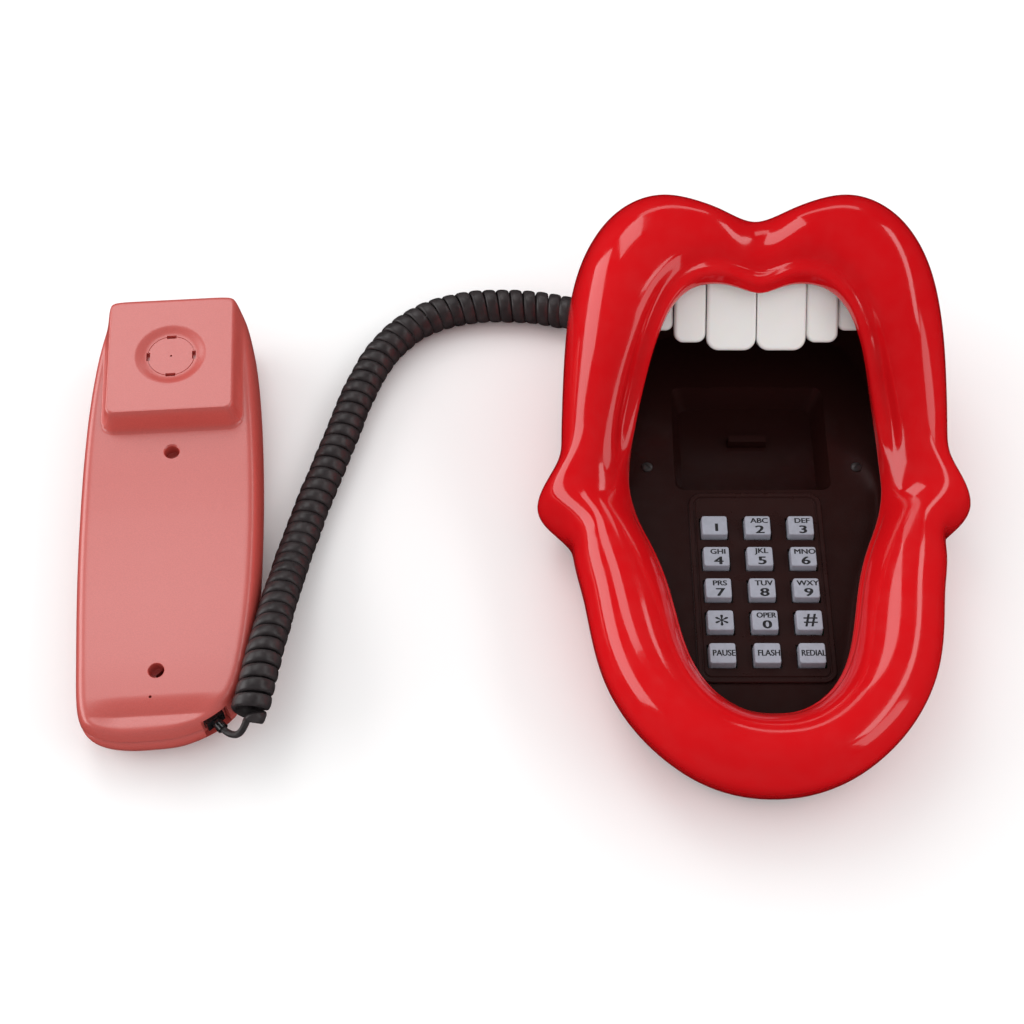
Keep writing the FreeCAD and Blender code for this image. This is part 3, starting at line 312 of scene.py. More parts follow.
def sharpen_edges(piece, degrees):
    """Smooth shading except across edges sharper than an angle."""
    work = bmesh.new()
    work.from_mesh(piece.data)
    limit = math.radians(degrees)
    for edge in work.edges:
        if len(edge.link_faces) == 2:
            edge.smooth = edge.calc_face_angle(0) < limit
    for face in work.faces:
        face.smooth = True
    work.to_mesh(piece.data)
    work.free()


def declare(piece, body, slot, *nodes):
    """The body that the piece moves with and the CAD nodes that it stands for, which are hidden. slot: not
    used.
    """
    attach(piece, body)
    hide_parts(*nodes)


# ---- materials
NOISE_SPAN = (0.35, 0.65)   # the part of a noise's range that its values fill


class Looks:
    """A material whose colour, roughness and fine bumps wander over the piece, each with a noise."""

    def __init__(self, name, **settings):
        self.material = bpy.data.materials.new(name)
        self.material.use_nodes = True
        self.nodes = self.material.node_tree.nodes
        self.links = self.material.node_tree.links
        self.shader = self.nodes["Principled BSDF"]
        self.place = self.nodes.new("ShaderNodeTexCoord").outputs["Object"]
        for setting, value in settings.items():
            socket = setting.replace("_", " ").title().replace("Ior", "IOR")
            self.shader.inputs[socket].default_value = value

    def fed_by_noise(self, kind, entry, scale, detail):
        """A node fed by a noise that has so many patches to a metre."""
        texture = self.nodes.new("ShaderNodeTexNoise")
        texture.inputs["Scale"].default_value = scale
        texture.inputs["Detail"].default_value = detail
        self.links.new(self.place, texture.inputs["Vector"])
        node = self.nodes.new(kind)
        self.links.new(texture.outputs["Fac"], node.inputs[entry])
        return node

    def colour(self, scale, low, high, detail=3.0, span=NOISE_SPAN):
        """Lets the colour wander between two."""
        ramp = self.fed_by_noise("ShaderNodeValToRGB", "Fac", scale, detail)
        for element, position, colour in zip(ramp.color_ramp.elements, span, (low, high)):
            element.position = position
            element.color = (*colour, 1.0)
        self.links.new(ramp.outputs["Color"], self.shader.inputs["Base Color"])

    def roughness(self, scale, low, high, detail=3.0):
        """Lets the roughness wander between two values."""
        mapped = self.fed_by_noise("ShaderNodeMapRange", "Value", scale, detail)
        for socket, value in zip(("From Min", "From Max", "To Min", "To Max"), (*NOISE_SPAN, low, high)):
            mapped.inputs[socket].default_value = value
        self.links.new(mapped.outputs["Result"], self.shader.inputs["Roughness"])

    def bumps(self, scale, painted_light_factor, depth, detail=1.0):
        """Adds fine bumps, of a depth in metres."""
        bump = self.fed_by_noise("ShaderNodeBump", "Height", scale, detail)
        bump.inputs["Strength"].default_value = painted_light_factor
        bump.inputs["Distance"].default_value = depth
        self.links.new(bump.outputs["Normal"], self.shader.inputs["Normal"])


def gloss_red():
    look = Looks("gloss_red", specular_ior_level=0.5, coat_weight=0.6, coat_roughness=0.03)
    look.colour(9.0, (0.55, 0.004, 0.007), (0.61, 0.006, 0.009))
    look.roughness(160.0, 0.10, 0.17, detail=4.0)
    look.bumps(420.0, 0.04, 0.0004, detail=2.0)
    return look.material


def pearl_pink():
    look = Looks("pearl_pink", ior=2.1, coat_weight=0.2, coat_roughness=0.12)
    look.colour(2400.0, (0.53, 0.066, 0.052), (0.59, 0.080, 0.064), detail=1.0, span=(0.30, 0.70))
    look.roughness(1500.0, 0.34, 0.39, detail=1.0)
    look.bumps(2600.0, 0.04, 0.0001)
    return look.material


BROWNS = [(0.018, 0.0048, 0.0042), (0.022, 0.0062, 0.0054)]


def dark_brown(name="dark_brown", painted_light_factor=1.0, rough=0.23):
    """Brown plastic, as dark as the mouth; a factor above 1 makes a lighter copy, painted light for a part
    that lies in the light.
    """
    look = Looks(name, specular_ior_level=0.42)
    # The colour is multiplied by the factor: above 1 it is painted light, not a different plastic.
    look.colour(20.0, *[tuple(painted_light_factor * part for part in colour) for colour in BROWNS])
    look.roughness(160.0, rough, rough + 0.04)
    look.bumps(900.0, 0.03, 0.0001)
    return look.material


def tooth_white():
    look = Looks("tooth_white", specular_ior_level=0.5, coat_weight=0.5, coat_roughness=0.05,
                 subsurface_weight=0.15, subsurface_scale=0.002)
    look.colour(60.0, (0.80, 0.78, 0.76), (0.82, 0.80, 0.78))
    look.roughness(300.0, 0.22, 0.26)
    look.bumps(120.0, 0.02, 0.0003, detail=2.0)
    return look.material


def key_grey():
    look = Looks("key_grey", specular_ior_level=0.4)
    look.colour(500.0, (0.30, 0.31, 0.36), (0.33, 0.34, 0.40))
    look.roughness(700.0, 0.36, 0.48)
    look.bumps(2600.0, 0.10, 0.0001)
    return look.material


def key_print():
    look = Looks("key_print", specular_ior_level=0.3)
    look.colour(900.0, (0.012, 0.012, 0.014), (0.022, 0.022, 0.025))
    look.roughness(900.0, 0.45, 0.60)
    return look.material


def cord_black():
    look = Looks("cord_black", specular_ior_level=0.45)
    look.colour(240.0, (0.026, 0.021, 0.022), (0.040, 0.033, 0.034))
    look.roughness(420.0, 0.30, 0.44, detail=4.0)
    look.bumps(1500.0, 0.12, 0.0002, detail=2.0)
    return look.material


def plug_black():
    look = Looks("plug_black", specular_ior_level=0.5, coat_weight=0.4, coat_roughness=0.08)
    look.colour(300.0, (0.010, 0.009, 0.010), (0.018, 0.016, 0.017))
    look.roughness(500.0, 0.15, 0.25)
    return look.material


def plain(name, low, high, rough, metallic=0.0, scale=300.0):
    """Moulded or metal finish with slight variation of colour and gloss."""
    look = Looks(name, metallic=metallic, specular_ior_level=0.5)
    look.colour(scale, low, high)
    look.roughness(scale * 2, rough - 0.06, rough + 0.06, detail=4.0)
    look.bumps(scale * 4, 0.08, 0.0002, detail=2.0)
    return look.material


# ---- curly cord
# Corners of the cord's route in the row frame, in millimetres, from the base to the handset.
CORD_ROUTE = [(20.0, 109.5, 7.1), (2.5, 113.1, 7.1), (-18.5, 113.3, 7.1), (-36.7, 108.9, 7.1),
              (-50.8, 99.2, 7.1), (-60.4, 85.7, 7.1), (-67.9, 67.7, 7.1), (-74.9, 42.7, 7.1),
              (-82.8, 17.7, 7.1), (-89.2, -8.3, 8.8), (-92.6, -32.3, 17.0), (-95.2, -53.3, 22.8),
              (-97.3, -67.8, 24.4), (-99.4, -81.3, 23.8)]
HANDSET_TAIL_BEND = (-102.6, -89.4, 20.0)
TAIL_STRAIGHT = 3.0
COIL_RADIUS = 5.75          # of the wire's own line
WIRE_WIDTH = 5.1            # along the coil
WIRE_THICKNESS = 2.5        # across the coil's wall
COIL_PITCH = 5.45
LEAD_RADIUS = 1.3
WIRE_SECTION = 14           # points round the wire
WIRE_SQUARENESS = 0.72      # 1 for an oval section, less for a squarer one
STEPS_PER_TURN = 36
START_RISE = (-4.5, -1.0)   # where the first turn grows out of the lead, from the route's first corner
END_RISE = (4.0, 0.5)       # where the last turn shrinks back into it, from the last corner
LEAD_TURNING = 0.10         # share of the coil's turning that the lead keeps
SWAYS = [(0.012, 0.9, 0.0), (0.010, 0.37, 1.0)]     # unevenness of the coil: share, rate, start


def nurbs_line(points):
    """Points along a smooth NURBS line that has these points as its control points."""
    data = bpy.data.curves.new("route", "CURVE")
    data.dimensions = "3D"
    data.resolution_u = 16
    spline = data.splines.new("NURBS")
    spline.points.add(len(points) - 1)
    for point, place in zip(spline.points, points):
        point.co = (place[0] * MM, place[1] * MM, place[2] * MM, 1.0)
    spline.order_u = 3
    spline.use_endpoint_u = True
    route = add_object("route", data)
    mesh = bpy.data.meshes.new_from_object(route)
    line = np.array([v.co for v in mesh.vertices]) / MM
    bpy.data.objects.remove(route, do_unlink=True)
    return line


def walk(line, step):
    """Points along a line at even steps."""
    total = lengths_along(line)[-1]
    return points_at(line, np.linspace(0, total, int(round(total / step)) + 1))


def carried_frames(line):
    """At each point, two sideways directions that don't twist about the line."""
    tangents = unit(np.gradient(line, axis=0))
    side = unit(np.cross(tangents[0], (0, 0, 1.0)))
    sides = []
    for tangent in tangents:
        side = unit(side - tangent * np.dot(side, tangent))
        sides.append(side)
    sides = np.array(sides)
    return sides, np.cross(tangents, sides)


def jack_way(jack):
    """The way out of a jack."""
    turn = Matrix.Rotation(math.radians(JACK_TURNS[jack]), 3, "Z")
    if jack == "handset_jack":
        turn = HANDSET.to_3x3() @ turn
    return turn @ Vector((1, 0, 0))


def plug_end(jack, beyond=0.0):
    """Where the wire leaves the plug in a jack, or so far beyond that, in millimetres."""
    reach = JACK_DEPTH / 2 + PLUG_REACH + beyond
    return np.array(node_middle(jack)) / MM + np.array(jack_way(jack)) * reach


def add_cord(material):
    """The curly cord with its tails, as one wire wound about the route."""
    base_end = plug_end("base_cord_jack")
    route = [base_end, plug_end("base_cord_jack", TAIL_STRAIGHT), *CORD_ROUTE, HANDSET_TAIL_BEND,
             plug_end("handset_jack", TAIL_STRAIGHT), plug_end("handset_jack")]
    line = walk(nurbs_line(route), COIL_PITCH / STEPS_PER_TURN)
    sides, ups = carried_frames(line)
    place = lengths_along(line)
    start = place[np.linalg.norm(line - CORD_ROUTE[0], axis=1).argmin()]
    end = place[np.linalg.norm(line - CORD_ROUTE[-1], axis=1).argmin()]
    rise = smooth(place - start, *START_RISE) * smooth(place - end, *END_RISE)
    turning = LEAD_TURNING + (1 - LEAD_TURNING) * rise
    turn = np.cumsum(np.diff(place, prepend=0) * turning) * 2 * math.pi / COIL_PITCH
    sway = 1 + sum(share * np.sin(place * rate + first) for share, rate, first in SWAYS)
    radius = COIL_RADIUS * rise * sway
    outward = np.cos(turn)[:, None] * sides + np.sin(turn)[:, None] * ups
    wire = line + outward * radius[:, None]
    vertices, faces = wire_tube(wire, outward, rise)
    piece = mesh_object("curly_cord_wire", vertices * MM, faces, material)
    recalculate(piece)
    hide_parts("curly_cord", "base_tail", "handset_tail")
    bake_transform(piece)


def wire_tube(wire, outward, rise):
    """Rounded flat band along the wire where it is coiled, turning to a round lead at its ends."""
    tangents = unit(np.gradient(wire, axis=0))
    out = unit(outward - tangents * np.sum(outward * tangents, axis=1)[:, None])
    across = np.cross(tangents, out)
    half_width = LEAD_RADIUS + (WIRE_WIDTH / 2 - LEAD_RADIUS) * rise
    half_thick = LEAD_RADIUS + (WIRE_THICKNESS / 2 - LEAD_RADIUS) * rise
    rows = []
    for n in range(WIRE_SECTION):
        angle = 2 * math.pi * n / WIRE_SECTION
        c, s = math.cos(angle), math.sin(angle)
        x = math.copysign(abs(c) ** WIRE_SQUARENESS, c)
        y = math.copysign(abs(s) ** WIRE_SQUARENESS, s)
        rows.append(wire + across * (half_width * x)[:, None] + out * (half_thick * y)[:, None])
    vertices = np.stack(rows, axis=1).reshape(-1, 3)
    faces = ring_faces(len(wire), WIRE_SECTION)
    last = (len(wire) - 1) * WIRE_SECTION
    faces.append(tuple(range(WIRE_SECTION)))
    faces.append(tuple(last + n for n in reversed(range(WIRE_SECTION))))
    return vertices, faces


# ---- lips
# Stations round the mouth in the base's millimetres, from the middle of the upper lip to the middle of
# the lower lip: outer bulge, inner edge, crest height, how far the foot is set in.
LIP_STATIONS = [
    ((0.0, 89.0, 60.0), (0.0, 50.5, 77.5), 89.0, 2.0),
    ((17.0, 94.2, 60.0), (12.5, 55.0, 78.0), 91.6, 2.0),
    ((37.0, 100.0, 59.0), (24.0, 54.5, 77.0), 94.0, 2.0),
    ((54.0, 94.5, 58.0), (32.0, 48.5, 74.0), 93.5, 2.0),
    ((65.0, 81.0, 57.0), (36.5, 42.0, 69.0), 91.0, 2.5),
    ((71.0, 64.0, 55.0), (39.8, 35.0, 62.0), 86.0, 3.0),
    ((73.5, 46.0, 51.0), (42.7, 27.5, 52.0), 77.5, 3.0),
    ((74.5, 30.0, 44.0), (45.3, 19.0, 42.0), 67.0, 3.5),
    ((75.0, 15.0, 36.0), (47.3, 9.5, 34.5), 56.0, 4.0),
    ((77.5, 2.5, 28.0), (48.4, 0.0, 30.0), 47.5, 6.0),
    ((84.5, -11.0, 19.0), (48.0, -10.0, 29.5), 42.0, 12.0),
    ((74.5, -23.0, 21.0), (45.0, -22.0, 29.5), 42.0, 7.0),
    ((70.8, -37.0, 27.0), (40.0, -34.5, 30.0), 44.0, 7.0),
    ((68.0, -52.0, 29.0), (35.8, -48.0, 30.5), 45.5, 8.0),
    ((65.5, -68.0, 30.0), (32.9, -62.0, 31.0), 46.5, 9.0),
    ((61.5, -85.0, 30.0), (30.0, -75.0, 31.0), 47.0, 9.0),
    ((54.0, -100.5, 30.0), (25.6, -86.2, 31.5), 47.0, 9.5),
    ((43.5, -113.5, 30.0), (19.4, -94.6, 32.0), 47.0, 10.0),
    ((30.0, -124.0, 30.0), (12.2, -99.8, 32.0), 47.0, 10.0),
    ((15.0, -130.2, 30.0), (5.8, -101.9, 32.0), 47.0, 10.0),
    ((0.0, -132.0, 30.0), (0.0, -102.3, 32.0), 47.0, 10.0),
]
# Section from the outer bulge to the inner edge: share of the way in, share of the rise to the crest,
# share of the drop from the crest to the edge.
LIP_SECTION = [(0.00, 0.00, 0.00), (0.06, 0.46, 0.00), (0.17, 0.78, 0.00), (0.35, 0.96, 0.00),
               (0.55, 1.00, 0.04), (0.74, 1.00, 0.22), (0.88, 1.00, 0.50), (0.97, 1.00, 0.80),
               (1.00, 1.00, 1.00)]
FLANK = (0.38, 0.42)        # a point between foot and bulge: share of the foot's inset, share of the way up
HEM_SHARE = 0.06
HEM_DROP = 2.5
HEM_LOWEST_Z = 26.3
LIPS_WALL = 2.3
FOOT_Z = 3.0
LIP_SAMPLES_ROUND = 480
LIP_SAMPLES_ACROSS = 110
# The bead along the inner edge of the upper lip, the fine line on the lower one and the upper lip's
# middle. A pair of Y values is where a feature begins and where it has its full depth.
HEM_LENGTH = 3.2            # of the skin below the inner edge
UPPER_SPAN = (-6.0, 14.0)
LOWER_SPAN = (-14.0, -30.0)
BEAD_WIDTH = 12.0           # from the inner edge to the groove outside the bead
BEAD_NARROWING = 2.0        # of the bead in the middle of the upper lip
NARROWING_SPAN = (20.0, 52.0)
BEAD_RISE = 1.5
BEAD_CREST = (0.52, 0.26)   # place and width of its crest, as shares of the bead's width
GROOVE_DEPTH = 1.5
GROOVE_WIDTHS = (2.0, 5.0)  # towards the bead and away from it
LINE_DEPTH = 0.35
LINE_SPOT = (4.0, 0.9)      # its distance from the inner edge, its width
PHILTRUM_DEPTH = 1.9        # of the valley in the middle of the upper lip
PHILTRUM_WIDTH = 8.5
PHILTRUM_POWER = 1.9
PHILTRUM_FAR = (88.0, 72.0)
LOBE_RISE = 0.6             # of the lip either side of it
LOBE_SPOT = (17.0, 8.0)     # distance from the middle, width
LOBE_FAR = (92.0, 76.0)
MIDDLE_NEAR = (46.0, 60.0)  # of the valley and of the lobes


def lip_stations():
    """The stations all the way round, those on the left mirrored from the right."""
    right = [(np.array(outer), np.array(inner), *rest) for outer, inner, *rest in LIP_STATIONS]
    flip = np.array((-1.0, 1.0, 1.0))
    left = [(outer * flip, inner * flip, *rest) for outer, inner, *rest in right[-2:0:-1]]
    return right + left


def lip_section(outer, inner, crest, inset):
    """Points of the lips' skin at one station, from the foot over the crest to the hem."""
    way = (inner - outer) * (1, 1, 0)
    inward = unit(way)
    foot = outer + inward * inset
    foot[2] = FOOT_Z
    flank = outer + inward * inset * FLANK[0]
    flank[2] = FOOT_Z + (outer[2] - FOOT_Z) * FLANK[1]
    points = [foot, flank]
    for share, rise, drop in LIP_SECTION:
        point = outer + way * share
        point[2] = outer[2] + (crest - outer[2]) * rise - (crest - inner[2]) * drop
        points.append(point)
    hem = inner + (outer - inner) * HEM_SHARE
    hem[2] = max(inner[2] - HEM_DROP, HEM_LOWEST_Z)
    return points + [hem]


def lip_surface():
    """Points of the lips' outer skin: rows from the foot to the hem, each a closed ring."""
    sections = np.array([lip_section(*station) for station in lip_stations()])
    rings = sections.transpose(1, 0, 2)
    sharp = rings.copy()
    sharp[1:-1] += (rings[1:-1] - (rings[:-2] + rings[2:]) / 2) / 3
    fine = np.array([periodic_samples(ring, LIP_SAMPLES_ROUND) for ring in sharp])
    return np.array([clamped_samples(fine[:, n], LIP_SAMPLES_ACROSS)
                     for n in range(LIP_SAMPLES_ROUND)]).transpose(1, 0, 2)


def ridge(value, middle, width):
    return np.exp(-((value - middle) / width) ** 2)


def lip_relief(surface):
    """The lips' skin with its bead: a roll along the inner edge, a groove outside it, a fine line below."""
    along = np.roll(surface, -1, axis=1) - np.roll(surface, 1, axis=1)
    normals = unit(np.cross(along, np.gradient(surface, axis=0)))
    steps = np.linalg.norm(np.diff(surface, axis=0), axis=2)
    depth = np.concatenate([np.cumsum(steps[::-1], axis=0)[::-1], np.zeros((1, steps.shape[1]))])
    edge_y = surface[-1, :, 1]
    edge = depth - HEM_LENGTH
    reach = BEAD_WIDTH - BEAD_NARROWING * smooth(edge_y, *NARROWING_SPAN)
    bead = (BEAD_RISE * ridge(edge, reach * BEAD_CREST[0], reach * BEAD_CREST[1])
            - GROOVE_DEPTH * ridge(edge, reach, np.where(edge > reach, GROOVE_WIDTHS[1], GROOVE_WIDTHS[0])))
    line = LINE_DEPTH * ridge(edge, *LINE_SPOT)
    across, y = np.abs(surface[..., 0]), surface[..., 1]
    middle = smooth(y, *MIDDLE_NEAR)
    valley = np.exp(-(across / PHILTRUM_WIDTH) ** PHILTRUM_POWER) * middle * smooth(y, *PHILTRUM_FAR)
    lobes = ridge(across, *LOBE_SPOT) * middle * smooth(y, *LOBE_FAR)
    lift = (smooth(edge_y, *UPPER_SPAN) * bead - smooth(edge_y, *LOWER_SPAN) * line
            - PHILTRUM_DEPTH * valley + LOBE_RISE * lobes)
    outward = np.sign(normals[LIP_SAMPLES_ACROSS // 2, 0, 2])
    return surface + normals * (lift * outward)[:, :, None]


def add_lips(material):
    surface = lip_relief(lip_surface())
    rows, count = surface.shape[:2]
    vertices = surface.reshape(-1, 3) * MM + np.array(BASE)
    piece = mesh_object("lips", vertices, ring_faces(rows, count), material)
    recalculate(piece)
    wall = piece.modifiers.new("wall", "SOLIDIFY")
    wall.thickness = LIPS_WALL * MM
    wall.offset = -1.0
    wall.use_even_offset = False
    apply_modifiers(piece)
    cut_away(piece, [jack_cutter("line_jack"), jack_cutter("base_cord_jack")])
    sharpen_edges(piece, 60)
    declare(piece, "base", "red_lips", "lips_shell")


def jack_cutter(jack):
    """Block that cuts the opening for a jack."""
    turn = jack_way(jack).to_track_quat("X", "Z").to_matrix().to_4x4()
    width, height = JACK_OPENINGS[jack]
    size = (JACK_OPENING_DEPTH * MM, width * MM, height * MM)
    return box_piece(jack + "_cut", size, Matrix.Translation(node_middle(jack)) @ turn)


# ---- handset
# The outline at the joint between cover and back, once round from the middle of the mouthpiece end:
# across and along, in the handset's own millimetres.
HANDSET_OUTLINE = [
    (-4.0, -108.4), (4.0, -107.8), (11.0, -105.8), (17.5, -102.6), (24.0, -97.0), (28.4, -88.5),
    (31.0, -76.0), (33.2, -56.0), (34.4, -30.0), (34.7, 0.0), (33.9, 30.0), (31.9, 56.0), (29.5, 71.0),
    (28.0, 76.8), (24.8, 80.3), (17.0, 81.2), (0.0, 81.2), (-17.0, 81.2), (-24.8, 80.3), (-28.0, 76.8),
    (-29.5, 71.0), (-32.6, 56.0), (-35.2, 30.0), (-36.4, 0.0), (-36.4, -30.0), (-35.5, -56.0),
    (-34.4, -76.0), (-33.4, -91.0), (-31.0, -100.6), (-25.0, -106.2), (-14.5, -108.4)]
OUTLINE_SAMPLES = 360
OUTLINE_FINE_SAMPLES = 2400     # from which those are taken at even distances
HANDSET_JOINT_Z = 13.0
JOINT_GAP = 0.3
JOINT_RISE = 4.8            # of the joint towards the mouthpiece end
JOINT_INSET = 1.6           # of the joint there, from the outline
JOINT_SPAN = (-92.0, -106.0)    # along which it rises and draws in
# Height of the face along the handset, and how it is rounded off: points along it, points in a blend.
FACE_PROFILE = [(-110.0, 25.5), (-94.0, 25.5), (-80.0, 25.4), (-62.0, 24.6), (-45.0, 23.9), (-30.0, 23.8),
                (-15.0, 24.2), (-2.0, 25.1), (10.0, 26.2), (30.0, 28.0), (60.0, 29.4), (90.0, 30.5)]
FACE_POINTS = 400
FACE_BLEND = 41
EAR_TOP = 37.0
EAR_HALF_WIDTH = 25.2
EAR_SIDE_RUN = 2.2          # how far the side walls of the ear block lean out
EAR_NEAR_Y = 24.4
EAR_NEAR_RUN = 2.8          # how far its near wall leans out
EAR_CORNER = 3.2
EAR_ROUNDING = 0.85         # of the edges at the top and the foot of the ear block's walls
VALLEY_TOP_Y = -91.5        # where the face begins to fall towards the valley at the mouthpiece end
VALLEY_FOOT_Y = -99.0
ROLL_Y = -103.4             # of the crest of the roll beyond the valley
VALLEY_DEPTH = 0.45
VALLEY_POWER = 1.9          # how the face falls into the valley
ROLL_DROP = 1.6             # how far the roll lies below the face
ROLL_SIDE_SHARE = 0.3       # of that drop, at the sides
VALLEY_RIGHT = (25.0, 10.0)     # how far off the mid-line the valley begins and is deepest, on each side
VALLEY_LEFT = (30.0, 15.0)
SHOULDER_REACH = 5.4        # how far in from the outline the face is rounded
EAR_END_CUT = 1.4           # how much less at the ear end, and along which stretch
EAR_END_SPAN = (50.0, 78.0)
MIC_END_CUT = 2.2
MIC_END_SPAN = (-96.0, -103.0)
SHOULDER_POLES = [(0.0, 0.0, 0), (0.02, 0.36, 0), (0.16, 0.70, 0), (0.42, 0.96, 0), (0.76, 1.0, 0),
                  (1.05, 1.0, 0)]
SHOULDER_POINTS = 60
NEAR_CORNERS = [(-31.0, -99.6), (24.4, -96.4)]      # where the ends of the face meet its sides
FAR_CORNERS = [(-26.8, 78.8), (26.8, 78.8)]
NEAR_ROW_Y = -84.0
FAR_ROW_Y = 70.0
NEAR_ROWS = 44              # rows of points between the end of the face and NEAR_ROW_Y
FAR_ROWS = 26
ROW_STEP = 0.5
# Distances from the mid-line of the columns of points that every row of the face has.
INNER_COLUMNS = np.concatenate([np.arange(0, 23, 0.55), np.arange(23.1, 28.6, 0.36)])
OUTER_COLUMNS = 1 - (1 - np.linspace(0, 1, 13)[1:]) ** 1.6      # shares of the way on to the side
SIDE_ROOM = 2.0             # that the outer columns have at least
# The back from its rim to its floor: inset from the outline, height.
BACK_LEVELS = [(1.0, 12.9), (0.3, 12.5), (0.0, 11.6), (0.5, 9.4), (1.8, 6.4), (4.2, 3.2), (8.5, 1.0),
               (13.0, 0.0)]
BACK_ROWS = 26
RIM_FOOT_Z = 9.0            # the back's rim leans in from this height up, at the mouthpiece end
FAN_INSET = (0.10, 0.04, 0.0)   # share of the way from the cover's or the back's rim to its middle
# Holes in the face as (radius, height) profiles. The ear dish is measured from its disc, a screw well
# from the face.
DISC_DROP = 1.35            # from the top of the ear block to the disc in the dish
EAR_DISH = [(0, 0), (9.15, 0), (9.22, -0.1), (9.22, -0.3), (9.42, -0.3), (9.42, -0.1), (9.5, 0),
            (10.3, 0.05), (11.4, 0.35), (12.6, 0.85), (13.6, 1.2), (14.4, 1.37), (14.9, 1.45),
            (14.9, 6.35), (0, 6.35)]
EAR_SLOTS = 4
EAR_SLOT_SIZE = (3.9, 1.5, 3.6)
EAR_SLOT_RADIUS = 9.1
EAR_PINHOLE = [(0, -3), (0.45, -3), (0.45, 3), (0, 3)]
MIC_PINHOLE = [(0, 18), (0.55, 18), (0.55, 30), (0, 30)]
WELLS = [(0.0, 12.0, 26.3), (-3.0, -82.0, 25.4)]     # across, along, height of the face there
SCREW_WELL = [(0, -5.4), (2.6, -5.4), (2.95, -5.0), (2.95, -0.25), (3.35, 0.2), (3.35, 6), (0, 6)]


def handset_outline():
    """Dense points of the outline, evenly spaced."""
    points = periodic_samples(HANDSET_OUTLINE, OUTLINE_FINE_SAMPLES)
    ring = np.concatenate([points, points[:1]])
    return points_at(ring, np.arange(OUTLINE_SAMPLES) * lengths_along(ring)[-1] / OUTLINE_SAMPLES)


def soft_step(value, low, high, rounding):
    """Rises in a straight line from 0 at low to 1 at high, its two corners rounded."""
    slope = (value - low) / (high - low)
    width = rounding / abs(high - low)

    def soft_floor(v):
        return np.where(v < -width, 0.0, np.where(v > width, v, (v + width) ** 2 / (4 * width)))

    return soft_floor(slope) - soft_floor(slope - 1.0)


def smooth(value, low, high):
    """Rises from 0 at low to 1 at high, level at both."""
    share = np.clip((value - low) / (high - low), 0, 1)
    return share * share * (3 - 2 * share)


def line_distance(x, y, outline):
    """Distance from points to a closed line."""
    points = np.stack([x.ravel(), y.ravel()], axis=1)
    nearest = np.full(len(points), 1e9)
    for start, end in zip(outline, np.roll(outline, -1, axis=0)):
        way = end - start
        share = np.clip(((points - start) @ way) / (way @ way), 0, 1)
        nearest = np.minimum(nearest, np.linalg.norm(points - start - share[:, None] * way, axis=1))
    return nearest.reshape(x.shape)


def block_outside(x, y):
    """How far a point lies outside the ear block's face, whose upright corners are rounded."""
    over_x = np.abs(x) - (EAR_HALF_WIDTH - EAR_CORNER)
    over_near = (EAR_NEAR_Y + EAR_CORNER) - y
    outside = np.hypot(np.maximum(over_x, 0), np.maximum(over_near, 0))
    return outside + np.minimum(np.maximum(over_x, over_near), 0) - EAR_CORNER


def face_height(x, y):
    """Height of the cover's face; the mouthpiece end has a valley across it and a roll beyond."""
    ys, zs = zip(*FACE_PROFILE)
    place = np.linspace(ys[0], ys[-1], FACE_POINTS)
    kernel = np.hanning(FACE_BLEND)
    padded = np.pad(np.interp(place, ys, zs), FACE_BLEND // 2, mode="edge")
    z = np.interp(y, place, np.convolve(padded, kernel / kernel.sum(), mode="valid"))
    fall = np.clip((VALLEY_TOP_Y - y) / (VALLEY_TOP_Y - VALLEY_FOOT_Y), 0, 1) ** VALLEY_POWER
    rise = smooth(y, VALLEY_FOOT_Y, ROLL_Y)
    across = smooth(x, *VALLEY_RIGHT) * smooth(-x, *VALLEY_LEFT)
    roll = ROLL_SIDE_SHARE + (1 - ROLL_SIDE_SHARE) * across
    z = z - VALLEY_DEPTH * (fall - rise) * across - ROLL_DROP * fall * roll
    run = np.where(y < EAR_NEAR_Y, EAR_NEAR_RUN, EAR_SIDE_RUN)
    raised = 1 - soft_step(block_outside(x, y), 0.0, run, EAR_ROUNDING)
    return z + (EAR_TOP - z) * raised


def joint_height(y):
    """Height of the joint between cover and back, which rises at the mouthpiece end."""
    return HANDSET_JOINT_Z + JOINT_RISE * smooth(y, *JOINT_SPAN)


def joint_line(outline, share=1.0):
    """The outline drawn in at the mouthpiece end, as it is at the joint."""
    inset = share * JOINT_INSET * smooth(outline[:, 1], *JOINT_SPAN)
    return outline + np.stack([np.zeros(len(outline)), inset], axis=1)


def shoulder(edge, y):
    """Share of the face's height above the joint, by the distance to the outline."""
    reach = (SHOULDER_REACH - EAR_END_CUT * smooth(y, *EAR_END_SPAN)
             - MIC_END_CUT * smooth(y, *MIC_END_SPAN))
    profile = clamped_samples(SHOULDER_POLES, SHOULDER_POINTS)
    return np.interp(edge / reach, profile[:, 0], profile[:, 1])


def fan(points, rim):
    """Closes a rim with a level floor drawn in from it, so that the rim itself may rise and fall."""
    middle = np.mean([points[n] for n in rim], axis=0)
    first = len(points)
    points += [points[number] + (middle - points[number]) * FAN_INSET for number in rim]
    faces = []
    for n, number in enumerate(rim):
        m = (n + 1) % len(rim)
        faces.append((rim[m], number, first + n, first + m))
    centre = len(points)
    points.append(middle)
    for n in range(len(rim)):
        faces.append((first + (n + 1) % len(rim), first + n, centre))
    return faces


def between(outline, start, end, places):
    """Points along the outline, at shares of the way from the one nearest start to the one nearest end."""
    first = np.linalg.norm(outline - start, axis=1).argmin()
    last = np.linalg.norm(outline - end, axis=1).argmin()
    count = len(outline)
    onward = (last - first) % count
    step, total = (1, onward) if onward <= count / 2 else (-1, count - onward)
    run = outline[(first + step * np.arange(total + 1)) % count]
    return points_at(run, places * lengths_along(run)[-1])


